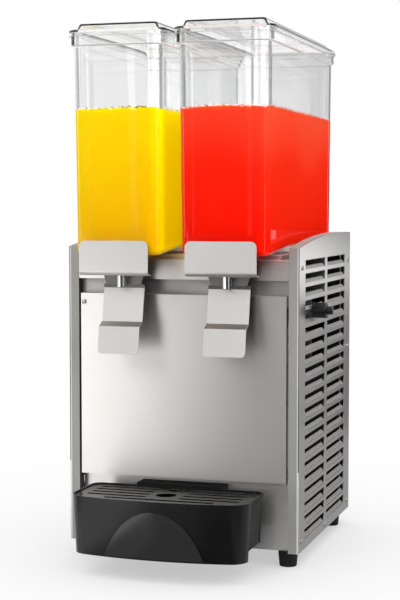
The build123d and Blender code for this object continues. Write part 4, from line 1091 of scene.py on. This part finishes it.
def turned_part(corners, name, steps=32):
    """Solid of revolution about Z through profile corners, each (radius, height, rounding)."""
    bm = bmesh.new()
    turns = [math.tau * step / steps for step in range(steps)]
    rows = [[(point.x * math.cos(turn), point.x * math.sin(turn), point.y) for turn in turns]
            for point in rounded_profile(corners)]
    for ring in loft(bm, rows):
        bm.faces.new(ring)
    closed_up(bm)
    return smooth_mesh(bm, name)


# Stage: the floor's reach and fade, the walls that the cards stand along, and the camera
FLOOR_REACH = 1.2
FLOOR_FADE = (0.3, 0.9)
LEFT_WALL = -1.3
RIGHT_WALL = 1.2
FRONT_WALL = -1.35
REAR_WALL = 1.0
SWEEP_NEAR = -0.85
SWEEP_TOP = 1.4
SWEEP_GLOW = 4.5
CARD_LIFT = 0.003
CARD_GAP = 0.01
CARD_FRONT = -0.29
GLEAM_HALF = 0.008
DARK = 0.02
BRIGHT = 1.6
TARGET = (0, -0.05, 0.4)
DRINK_LIGHT_SPREAD = math.radians(20)
DRINK_LIGHT_TURN = math.radians(28)
CAMERA_PLACE = (0.6046, -2.0223, 0.4776)
CAMERA_YAW = 0.3018
CAMERA_PITCH = 0.0644


def stage_piece(name, corners, material):
    """Four-sided piece of the stage, which isn't part of the dispenser."""
    mesh = bpy.data.meshes.new(name)
    mesh.from_pydata(corners, [], [tuple(range(4))])
    mesh.materials.append(material)
    thing = placed(name, mesh)
    return thing


def upright(start, end, heights):
    """Corners of a card that stands between two places on the floor."""
    low, high = heights
    return [(*start, low), (*end, low), (*end, high), (*start, high)]


def lying(across, along, height):
    """Corners of a level card."""
    return [(across[0], along[0], height), (across[1], along[0], height),
            (across[1], along[1], height), (across[0], along[1], height)]


def floor_material(look):
    """Pale floor that takes the lamps' soft shadow, with a contact shadow painted from ambient occlusion
    for the camera, and fades into the white around it.
    """
    finish = Finish("studio_floor", {"Base Color": opaque(look.floor), "Roughness": 0.9,
                                     "Specular IOR Level": 0.1})
    far = finish.node("ShaderNodeVectorMath", {"operation": "LENGTH"}, {0: finish.spot()}, out="Value")
    fade = finish.share(far, *FLOOR_FADE, interpolation_type="SMOOTHSTEP")
    seen = finish.node("ShaderNodeLightPath", out="Is Camera Ray")
    # Contact shadow painted for the camera from ambient occlusion.
    open_sky = finish.node("ShaderNodeAmbientOcclusion", {"samples": 8}, {"Distance": look.shadow_reach},
                           out="AO")
    tone = finish.ramp(open_sky, greys((0.1, 0.56), (0.55, 0.86), (0.95, 1.0)))
    white = finish.node("ShaderNodeEmission", {}, {"Color": tone})
    clear = finish.node("ShaderNodeBsdfTransparent")
    pale = finish.mixed(seen * look.floor_white, finish.base, white)
    finish.show(finish.mixed(fade, pale, clear))
    return finish.material


def sweep_material(name, turn, turn_stops, rise_stops):
    """Glowing sweep whose brightness runs from side to side by direction, and with height."""
    finish = Finish(name)
    across = finish.share(finish.axis("X") / finish.axis("Y"), *turn)
    up = finish.share(finish.axis("Z"), 0.0, SWEEP_TOP)
    level = finish.node("ShaderNodeSeparateColor", {}, {0: finish.ramp(up, rise_stops)})
    return finish.glow(finish.ramp(across, turn_stops), level * SWEEP_GLOW)


def white_room(look):
    """World that is white to the eye, in metal and in glass, and lights the object evenly."""
    world = bpy.data.worlds.new("white_room")
    world.use_nodes = True
    shading = Shading(world.node_tree)
    seen = shading.node("ShaderNodeLightPath", out="Is Camera Ray")
    for ray in ("Is Glossy Ray", "Is Transmission Ray"):
        seen = seen.math("MAXIMUM", seen, shading.node("ShaderNodeLightPath", out=ray))
    sky = world.node_tree.nodes["Background"].inputs
    shading.feed(sky["Color"], opaque(grey(1.0)))
    shading.feed(sky["Strength"],
                 shading.node("ShaderNodeMapRange", {}, {"Value": seen, "To Min": look.fill}))
    return world


def softbox(name, place, size, strength):
    """Large soft lamp that faces the dispenser."""
    data = bpy.data.lights.new(name, "AREA")
    data.shape = "RECTANGLE"
    data.size, data.size_y = size
    data.energy = strength
    lamp = placed(name, data)
    lamp.location = place
    lamp.rotation_euler = (Vector(TARGET) - Vector(place)).to_track_quat("-Z", "Y").to_euler()
    lamp.visible_camera = False
    return lamp


class DISPENSER_OT_stage(bpy.types.Operator):
    """Set the floor, the white room, the lamps and the camera"""

    bl_idname = "dispenser.stage"
    bl_label = "Stage"

    def execute(self, context):
        scene = context.scene
        look = scene.dispenser_stage
        scene.view_settings.view_transform = "Standard"
        scene.world = white_room(look)
        reach = (-FLOOR_REACH, FLOOR_REACH)
        stage_piece("floor", lying(reach, reach, 0), floor_material(look))
        self.sweep()
        self.floor_cards()
        self.wall_cards()
        softbox("key", (0.36, -2.6, 0.85), (0.9, 1.1), look.key_power)
        softbox("side", (1.85, -1.1, 1.15), (1.0, 1.4), look.side_power).visible_diffuse = False
        softbox("top", (0, 0.1, 2.1), (1.6, 1.6), look.top_power)
        self.drink_light("drink_right", 1, look.drink_right)
        self.drink_light("drink_left", -1, look.drink_left)
        self.camera(scene, look)
        return {"FINISHED"}

    def drink_light(self, name, away, strength):
        """Level light from one side that reaches the drinks through the tanks beside them."""
        data = bpy.data.lights.new(name, "SUN")
        data.energy = strength
        data.angle = DRINK_LIGHT_SPREAD
        data.use_shadow = False
        lamp = placed(name, data)
        lamp.rotation_euler = (0, away * math.pi / 2, away * DRINK_LIGHT_TURN)
        lamp.visible_glossy = False
        lamp.visible_transmission = False

    def sweep(self):
        """Sweep in front, brightest at the left and dark behind the tanks' height, for the metal."""
        turn_stops = greys((0.0, 0.02), (0.45, 0.03), (0.62, 0.16), (0.8, 0.43), (0.95, 0.86))
        rise_stops = greys((0.19, 1.0), (0.26, 0.03), (0.5, 0.03), (0.58, 0.8))
        material = sweep_material("front_sweep", (-0.35, 0.55), turn_stops, rise_stops)
        ends = ((LEFT_WALL, FRONT_WALL), (RIGHT_WALL, FRONT_WALL))
        self.gloss_only(stage_piece("front_sweep", upright(*ends, (0, SWEEP_TOP)), material))
        corners = lying((LEFT_WALL, RIGHT_WALL), (FRONT_WALL, SWEEP_NEAR), CARD_LIFT)
        self.gloss_only(stage_piece("floor_sweep", corners, material))

    def floor_cards(self):
        """Strips of floor in front and at the right rear, for the panels' and the tray's gloss."""
        edges = (-0.9, -0.36, -0.15, -0.07, 0.05, 0.9)
        for number, level in enumerate((0.3, 1.25, 0.3, 0.22, DARK)):
            corners = lying(edges[number:number + 2], (SWEEP_NEAR, CARD_FRONT), CARD_LIFT)
            self.card(f"floor_card_{number}", corners, level)
        self.card("rear_floor", lying((0.165, RIGHT_WALL), (-0.6, REAR_WALL), CARD_LIFT), 0.42)

    def wall_cards(self):
        """Dark and bright cards along the walls, for the metal's and the clear plastic's edges."""
        walls = {"left": (LEFT_WALL, CARD_GAP, 0.4, (-0.75, -0.25)),
                 "right": (RIGHT_WALL, -CARD_GAP, REAR_WALL, (-1.1, -0.85))}
        for side, (wall, gap, dark_end, bright) in walls.items():
            self.card(f"{side}_dark", upright((wall, FRONT_WALL), (wall, dark_end), (0, 0.74)), DARK)
            ends = [(wall + gap, y) for y in bright]
            self.card(f"{side}_bright", upright(*ends, (0.1, 1.3)), BRIGHT)
        rear = {"near": ((0.15, 0.44), 0.06, 0.15), "far": ((0.44, RIGHT_WALL), 0.62, 2.6)}
        for name, (across, low_level, high_level) in rear.items():
            ends = [(x, REAR_WALL) for x in across]
            self.card(f"rear_grey_{name}", upright(*ends, (0, 0.3)), low_level)
            self.card(f"rear_pale_{name}", upright(*ends, (0.3, 0.42)), high_level)
        self.card("rear_dark", upright((0.15, REAR_WALL), (RIGHT_WALL, REAR_WALL), (0.42, 0.79)), DARK)
        for number, x in enumerate((-0.565, -0.455, -0.345, -0.2)):
            ends = [(x + half, FRONT_WALL + CARD_GAP) for half in (-GLEAM_HALF, GLEAM_HALF)]
            self.card(f"gleam_{number}", upright(*ends, (0.62, 0.8)), 3.5)
            self.card(f"glint_{number}", upright(*ends, (0.36, 0.62)), 0.3)

    def card(self, name, corners, level):
        """Evenly bright card."""
        self.gloss_only(stage_piece(name, corners, Finish(name).glow(opaque(grey(1.0)), level)))

    def gloss_only(self, card):
        """Let a card show in reflections alone."""
        for ray in ("camera", "diffuse", "transmission", "volume_scatter", "shadow"):
            setattr(card, f"visible_{ray}", False)

    def camera(self, scene, look):
        """Camera at the photograph's place."""
        data = bpy.data.cameras.new("camera")
        data.lens = look.lens
        view = placed("camera", data)
        view.location = CAMERA_PLACE
        view.rotation_euler = (math.pi / 2 - CAMERA_PITCH, 0, CAMERA_YAW)
        scene.camera = view


# Foam filter behind the rear vents: shares of the rear panel's width and height, inset and thickness
FILTER_WIDTH = 0.86
FILTER_SPAN = (0.48, 0.88)
FILTER_INSET = 0.0014
FILTER_THICK = 0.003


class DISPENSER_OT_cabinet(bpy.types.Operator):
    """Round the edges of the cabinet's panels and give them their finishes"""

    bl_idname = "dispenser.cabinet"
    bl_label = "Cabinet"

    def execute(self, context):
        sizes = context.scene.dispenser_sheet
        edge = sizes.panel_edge
        # Front panel: painted highlight on its rounded edges. Front panels and deck: painted shade on the
        # faces that look into the cabinet.
        for node, inward, rim in (("front_panel", (0, 1, 0), finish_of("bright_edge")),
                                  ("lower_front_panel", (0, 1, 0), None), ("deck", (0, 0, -1), None)):
            paint_shade_on_side(softened(node, edge, rim=rim).data, inward)
        # Rear panel: painted shade on every face but those that look out backwards.
        back = softened("rear_panel", edge).data
        refinish(back, finish_of("inner_steel"), lambda face: face.normal.y < 0.3)
        # Front rail in darker steel: painted shade in its recess.
        softened("front_rail", edge, finish_of("rail_stainless"))
        for side in SIDES:
            self.side_panel(side, sizes)
        # Base pan in dark steel: painted shade inside the closed cabinet.
        paint("base_pan", finish_of("inner_steel"))
        softened("power_inlet", sizes.moulded_edge)
        self.rear_filter()
        return {"FINISHED"}

    def side_panel(self, side, sizes):
        """Side panel with satin folds and louvre blades darkened as painted shade, lines of painted shade
        and painted highlight along its outer edges, and painted shade on its inside below the deck.
        """
        node = f"{side}_side_panel"
        low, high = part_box(node)
        away = math.copysign(1, low.x + high.x)
        outer = max(high.x, -low.x)
        middle = (low + high) / 2
        deck_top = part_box("deck")[1].z
        seam_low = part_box("lower_front_panel")[1].z

        def seams(bm):
            for width in (sizes.seam, 2 * sizes.seam):
                cut(bm, (away * (outer - width), 0, 0), (1, 0, 0))
            for height in (deck_top, seam_low):
                cut(bm, (0, 0, height), (0, 0, 1))

        def finish_at(face):
            depth = outer - face.center.x * away
            turned = face.normal.x * away
            front = face.center.y < low.y + sizes.panel_edge
            top = face.center.z > deck_top and face.normal.z > 0.3
            blade = depth > sizes.panel_edge and turned > 0.2 and face.normal.z > 0.2
            inward = face.normal.yz.dot((middle - face.center).yz) > 0 and depth > sizes.seam
            # Thin lines along the front and top edges: painted shade above the lower panel's top and
            # painted highlight below it, with a painted highlight strip beside the front line.
            if (front or top) and depth < sizes.seam and turned < 0.99:
                return "edge_steel" if face.center.z > seam_low else "bright_edge"
            if front and depth < 2 * sizes.seam:
                return "bright_edge"
            # Front flange, top fold and louvre blades: rougher steel, darkened as painted shade.
            if front or top or blade:
                return "pillar_stainless"
            # Faces that look into the cabinet: painted shade below the deck.
            if turned < -0.2 or inward:
                return "inner_steel" if face.center.z < deck_top else "pillar_stainless"
            return "side_stainless"

        finishes = ("side_stainless", "pillar_stainless", "inner_steel", "edge_steel", "bright_edge")
        mesh = softened(node, sizes.panel_edge, finish_of(finishes[0]), reshape=seams).data
        for name in finishes[1:]:
            mesh.materials.append(finish_of(name))
        for face in mesh.polygons:
            face.material_index = finishes.index(finish_at(face))

    def rear_filter(self):
        """Foam dust filter behind the vents of the back cover."""
        low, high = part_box("rear_panel")
        bm = bmesh.new()
        bmesh.ops.create_cube(bm, size=1.0)
        for vert in bm.verts:
            share = FILTER_SPAN[vert.co.z > 0]
            vert.co = Vector((vert.co.x * FILTER_WIDTH * (high.x - low.x),
                              high.y - FILTER_INSET + (vert.co.y - 0.5) * FILTER_THICK,
                              low.z + share * (high.z - low.z)))
        thing = placed("rear_filter", smooth_mesh(bm, "rear_filter"))
        thing.data.materials.append(finish_of("filter_foam"))
        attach(thing, body_of("rear_panel"))


class DISPENSER_OT_tanks(bpy.types.Operator):
    """Mould the clear tanks and their lids"""

    bl_idname = "dispenser.tanks"
    bl_label = "Tanks and lids"

    def execute(self, context):
        scene = context.scene
        lid_sizes = scene.dispenser_lid
        for side in SIDES:
            shape = TankShape(side, scene.dispenser_tank)
            drink_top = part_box(f"{side}_juice")[1].z
            tank = tank_mesh(side, scene.dispenser_tank, f"{side}_clear_tank")
            dressed(f"{side}_clear_tank", tank, f"{side}_tank")
            self.dull_and_shade_sides(tank, side, drink_top)
            self.corners(tank, drink_top)
            self.frost(tank, shape.collar - FROST_BELOW, shape.collar + FROST_ABOVE)
            lid = lid_mesh(shape, lid_sizes, f"{side}_clear_lid")
            dressed(f"{side}_clear_lid", lid, f"{side}_lid")
            self.frost(lid, shape.level, shape.top - 0.9 * lid_sizes.lip_drop)
        return {"FINISHED"}

    def dull_and_shade_sides(self, mesh, side, drink_top):
        """Let the side walls reflect little beside the drink, and tint them darker as painted shade on the
        drink's sides, darkest on the right tank.
        """
        refinish(mesh, finish_of(f"{side}_clear_dull"),
                 lambda face: abs(face.normal.x) > 0.9 and face.center.z < drink_top)

    def corners(self, mesh, drink_top):
        """Paint a dark line of shade on each front corner above the drink, on the faces that turn from
        front to side.
        """
        refinish(mesh, finish_of("clear_corner"),
                 lambda face: (0.03 < -face.normal.y < 0.6 and abs(face.normal.z) < 0.1
                               and face.center.z > drink_top))

    def frost(self, mesh, low, high):
        """Frost the faces that look down between two heights, like a sawn edge."""
        refinish(mesh, finish_of("frosted_plastic"),
                 lambda face: face.normal.z < -0.3 and low < face.center.z < high)


class DISPENSER_OT_drinks(bpy.types.Operator):
    """Fill the tanks and strew froth along the drinks' edges"""

    bl_idname = "dispenser.drinks"
    bl_label = "Drinks"

    def execute(self, context):
        scene = context.scene
        look = scene.dispenser_drink
        tree = froth_tree()
        for seed, side in enumerate(SIDES):
            node = f"{side}_juice"
            low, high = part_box(node)
            shape = TankShape(side, scene.dispenser_tank, inside=True)
            shades = [tuple(getattr(look, f"{side}{depth}")) for depth in ("_deep", "", "_top")]
            mesh = drink_mesh(shape, look, high.z, self.bores(side), f"{side}_drink")
            dressed(f"{side}_drink", mesh, node, cloudy_drink(node, shades, low.z, high.z))
            name = f"{side}_froth"
            values = {"Finish": froth_finish(name, shades[0], shades[-1]), "Count": look.froth_count,
                      "Largest": look.froth_size, "Seed": seed}
            edge = self.edge(shape, look, high.z, f"{side}_drink_edge")
            thing = placed(name, tree.run(edge, values, name))
            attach(thing, f"{side}_tank")
        return {"FINISHED"}

    def bores(self, side):
        """Radius and top of the room that the drink leaves for the dome and for the plunger."""
        agitator_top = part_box(f"{side}_agitator")[1].z
        plunger_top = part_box(f"{side}_plunger")[1].z
        seal_low, seal_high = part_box(f"{side}_plunger_seal")
        return ((DOME_ROOM * width_of(f"{side}_agitator") / 2, agitator_top + DOME_HEADROOM),
                (PLUNGER_ROOM * (seal_high.y - seal_low.y), plunger_top + PLUNGER_HEADROOM))

    def edge(self, shape, look, top, name):
        """Line that the froth lies along, round the drink's surface."""
        inset = shape.sizes.wall + FROTH_INSET * look.froth_size
        bm = bmesh.new()
        ring_edges(bm, shape.surface_ring(look, top, -inset))
        return bare_mesh(bm, name)


# Taps: heights at the hinge that the tap keeps in shade, and the lever spring's wire and turns
LEG_SHADE = 0.013
PADDLE_SHADE = 0.0055
SPRING_WIRE = 0.0006
SPRING_TURNS = 6.0


class DISPENSER_OT_taps(bpy.types.Operator):
    """Finish the levers, paddles, spouts and springs"""

    bl_idname = "dispenser.taps"
    bl_label = "Taps"

    def execute(self, context):
        edge = context.scene.dispenser_sheet.tap_edge
        tree = spring_tree()
        for side in SIDES:
            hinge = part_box(f"{side}_tap_handle")[0].z
            self.plate(f"{side}_tap_handle", edge, lambda z: z < hinge + LEG_SHADE)
            self.plate(f"{side}_tap_paddle", edge, lambda z: z >= hinge - PADDLE_SHADE)
            # Bracket under the plates in dark steel: painted shade.
            softened(f"{side}_tap_bracket", edge, finish_of("bracket_stainless"))
            for node in ("spout", "lever_pin"):
                softened(f"{side}_{node}", edge)
            for node in ("plunger", "plunger_seal", "seat_nut", "outlet_gasket"):
                paint(f"{side}_{node}")
            self.spring(side, tree)
        return {"FINISHED"}

    def plate(self, node, edge, shaded):
        """Tap plate with painted highlights on its edges, painted shade on its back, and painted shade in
        front at the heights that the tap shades.
        """
        mesh = softened(node, edge, rim=finish_of("bright_edge")).data
        refinish(mesh, finish_of("bracket_stainless"),
                 lambda face: face.normal.y < -0.2 and shaded(face.center.z))
        paint_shade_on_side(mesh, (0, 1, 0))

    def spring(self, side, tree):
        """Wound torsion spring on the lever's pin."""
        node = f"{side}_lever_spring"
        name = f"{side}_wound_spring"
        low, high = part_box(node)
        middle = (low + high) / 2
        values = {"Finish": finish_of(SLOTS[node]), "Turns": SPRING_TURNS, "Wire": SPRING_WIRE,
                  "Radius": (high.z - low.z) / 2 - SPRING_WIRE,
                  "Length": high.x - low.x - 2 * SPRING_WIRE}
        mesh = tree.run(bpy.data.meshes.new(f"{side}_seed"), values, name)
        start = Matrix.Translation((low.x + SPRING_WIRE, middle.y, middle.z))
        mesh.transform(start @ Matrix.Rotation(math.pi / 2, 4, "Y"))
        mesh.shade_smooth()
        dressed(name, mesh, node)


class DISPENSER_OT_tray(bpy.types.Operator):
    """Mould the drip tray with its shield, and finish its grille and hanger"""

    bl_idname = "dispenser.tray"
    bl_label = "Drip tray"

    def execute(self, context):
        sheet = context.scene.dispenser_sheet
        mesh = softened("drip_tray", sheet.moulded_edge, reshape=self.basin).data
        end = self.fascia_end()
        refinish(mesh, finish_of("shield_plastic"),
                 lambda face: self.on_shield(face.normal, face.center, end))
        refinish(mesh, finish_of("black_rubber"),
                 lambda face: face.center.y > end and abs(face.normal.x) > 0.5)
        # Grille in dark steel: painted dark reflection.
        softened("drip_grille", sheet.panel_edge, finish_of("grille_stainless"))
        softened("tray_hanger", sheet.moulded_edge, finish_of("matt_black"))
        return {"FINISHED"}

    def fascia_end(self):
        """Where the fascia ends and the basin begins, along Y."""
        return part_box("drip_tray")[0].y + bpy.context.scene.dispenser_tray.fascia

    def on_shield(self, normal, place, end):
        """Whether a face is one of the shield's upright facets."""
        return normal.y < -0.9 and abs(normal.z) < 0.01 and place.y < end

    def basin(self, bm):
        """Set the tray's basin in from its fascia, and lift the basin's bottom."""
        sizes = bpy.context.scene.dispenser_tray
        low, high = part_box("drip_tray")
        end = self.fascia_end()
        rim = high.z - sizes.rim
        outside = high.x - sizes.wall
        for y in (end, end + sizes.step / 4):
            cut(bm, (0, y, 0), (0, 1, 0))
        for z in (rim, rim - sizes.step / 4):
            cut(bm, (0, 0, z), (0, 0, 1))
        for vert in bm.verts:
            if vert.co.y < end + WELD:
                continue
            rise = vert.co.z - low.z
            if rise < sizes.lift_height:
                vert.co.z += sizes.lift * (1 - rise / sizes.lift_height)
            if abs(vert.co.x) > outside and vert.co.z < rim - WELD:
                vert.co.x -= math.copysign(sizes.step, vert.co.x)
        for edge in bm.edges:
            faces = edge.link_faces
            if len(faces) == 2 and all(self.on_shield(face.normal, face.calc_center_median(), end)
                                       for face in faces):
                edge.smooth = False


class DISPENSER_OT_screws(bpy.types.Operator):
    """Set cross-recessed screws in the cabinet's panels"""

    bl_idname = "dispenser.screws"
    bl_label = "Screws"

    def execute(self, context):
        node = "panel_screws"
        head = context.scene.dispenser_sheet.screw_height
        boxes = islands(node)
        places = []
        for low, high in boxes:
            middle = (low + high) / 2
            axis = 0 if abs(middle.x) > abs(middle.y) else 1
            facing = Vector((0, 0, 0))
            facing[axis] = math.copysign(1, middle[axis])
            middle[axis] = (high if facing[axis] > 0 else low)[axis] - facing[axis] * head
            places.append((middle, facing))
        low, high = boxes[-1]
        part = screw_part((high.z - low.z) / 2, head, max(high - low) - head)
        set_on_points(part, places, "cross_screws", node)
        return {"FINISHED"}


class DISPENSER_OT_feet(bpy.types.Operator):
    """Stand the cabinet on turned rubber feet"""

    bl_idname = "dispenser.feet"
    bl_label = "Feet"

    def execute(self, context):
        node = "feet"
        boxes = islands(node)
        low, high = boxes[0]
        radius = (high.x - low.x) / 2
        stud = radius * 0.23
        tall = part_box("lower_front_panel")[0].z - low.z
        stud_top = high.z - low.z
        edge = context.scene.dispenser_sheet.moulded_edge
        corners = [(radius / 8, 2 * edge, 0), (radius * 0.45, 2 * edge, edge / 2),
                   (radius * 0.5, 0, edge / 2), (radius * 0.88, 0, edge), (radius, tall * 0.8, edge),
                   (radius, tall, edge / 2), (stud, tall, 0), (stud, stud_top, edge / 2),
                   (stud / 8, stud_top, 0)]
        part = turned_part(corners, "rubber_foot", CIRCLE_STEPS)
        places = [((a.x / 2 + b.x / 2, a.y / 2 + b.y / 2, a.z), (0, 0, 1)) for a, b in boxes]
        set_on_points(part, places, "rubber_feet", node)
        return {"FINISHED"}


class DISPENSER_OT_controls(bpy.types.Operator):
    """Finish the knob and the thermostat behind it"""

    bl_idname = "dispenser.controls"
    bl_label = "Controls"

    def execute(self, context):
        paint("thermostat_knob")
        paint("thermostat", finish_of("matt_black"))
        return {"FINISHED"}


class DISPENSER_OT_drives(bpy.types.Operator):
    """Finish the agitators with the magnets and motors that turn them"""

    bl_idname = "dispenser.drives"
    bl_label = "Agitators and drives"

    def execute(self, context):
        for side in SIDES:
            for node in ("agitator", "drive_magnet", "agitator_motor"):
                paint(f"{side}_{node}")
        return {"FINISHED"}


class DISPENSER_OT_cooling(bpy.types.Operator):
    """Finish the cold domes and the cooling unit in the cabinet"""

    bl_idname = "dispenser.cooling"
    bl_label = "Cooling"

    def execute(self, context):
        for side in SIDES:
            paint(f"{side}_evaporator")
            paint(f"{side}_tank_gasket")
        for node in ("compressor", "compressor_grommets", "fan_blade", "fan_motor", "refrigerant_lines",
                     "filter_drier"):
            paint(node)
        # Condenser and fan bracket in dark steel: painted shade inside the closed cabinet.
        for node in ("condenser", "fan_bracket"):
            paint(node, finish_of("inner_steel"))
        return {"FINISHED"}


class DISPENSER_PT_panel(bpy.types.Panel):
    """Steps that dress the dispenser, and their settings"""

    bl_idname = "DISPENSER_PT_panel"
    bl_label = "Drink dispenser"
    bl_space_type = "VIEW_3D"
    bl_region_type = "UI"
    bl_category = "Dispenser"

    def draw(self, context):
        for operator in OPERATORS:
            self.layout.operator(operator.bl_idname)
        for name, group in GROUPS.items():
            box = self.layout.box()
            box.label(text=group.__doc__.rstrip("."))
            for setting in group.__annotations__:
                box.prop(getattr(context.scene, name), setting)


GROUPS = {
    "dispenser_tank": TankSizes,
    "dispenser_lid": LidSizes,
    "dispenser_drink": DrinkLook,
    "dispenser_sheet": SheetSizes,
    "dispenser_metal": MetalLook,
    "dispenser_tray": TraySizes,
    "dispenser_stage": StageLook,
}
OPERATORS = (DISPENSER_OT_stage, DISPENSER_OT_cabinet, DISPENSER_OT_tanks, DISPENSER_OT_drinks,
             DISPENSER_OT_taps, DISPENSER_OT_tray, DISPENSER_OT_screws, DISPENSER_OT_feet,
             DISPENSER_OT_controls, DISPENSER_OT_drives, DISPENSER_OT_cooling)


def register():
    """Register the settings, the steps and the panel."""
    for name, group in GROUPS.items():
        bpy.utils.register_class(group)
        setattr(bpy.types.Scene, name, PointerProperty(type=group))
    for operator in OPERATORS:
        bpy.utils.register_class(operator)
    bpy.utils.register_class(DISPENSER_PT_panel)


def unregister():
    """Take everything out again."""
    bpy.utils.unregister_class(DISPENSER_PT_panel)
    for operator in reversed(OPERATORS):
        bpy.utils.unregister_class(operator)
    for name, group in reversed(GROUPS.items()):
        delattr(bpy.types.Scene, name)
        bpy.utils.unregister_class(group)


def main():
    """Run every step in order."""
    register()
    bpy.ops.dispenser.stage()
    bpy.ops.dispenser.cabinet()
    bpy.ops.dispenser.tanks()
    bpy.ops.dispenser.drinks()
    bpy.ops.dispenser.taps()
    bpy.ops.dispenser.tray()
    bpy.ops.dispenser.screws()
    bpy.ops.dispenser.feet()
    bpy.ops.dispenser.controls()
    bpy.ops.dispenser.drives()
    bpy.ops.dispenser.cooling()


if __name__ == "__main__":
    main()
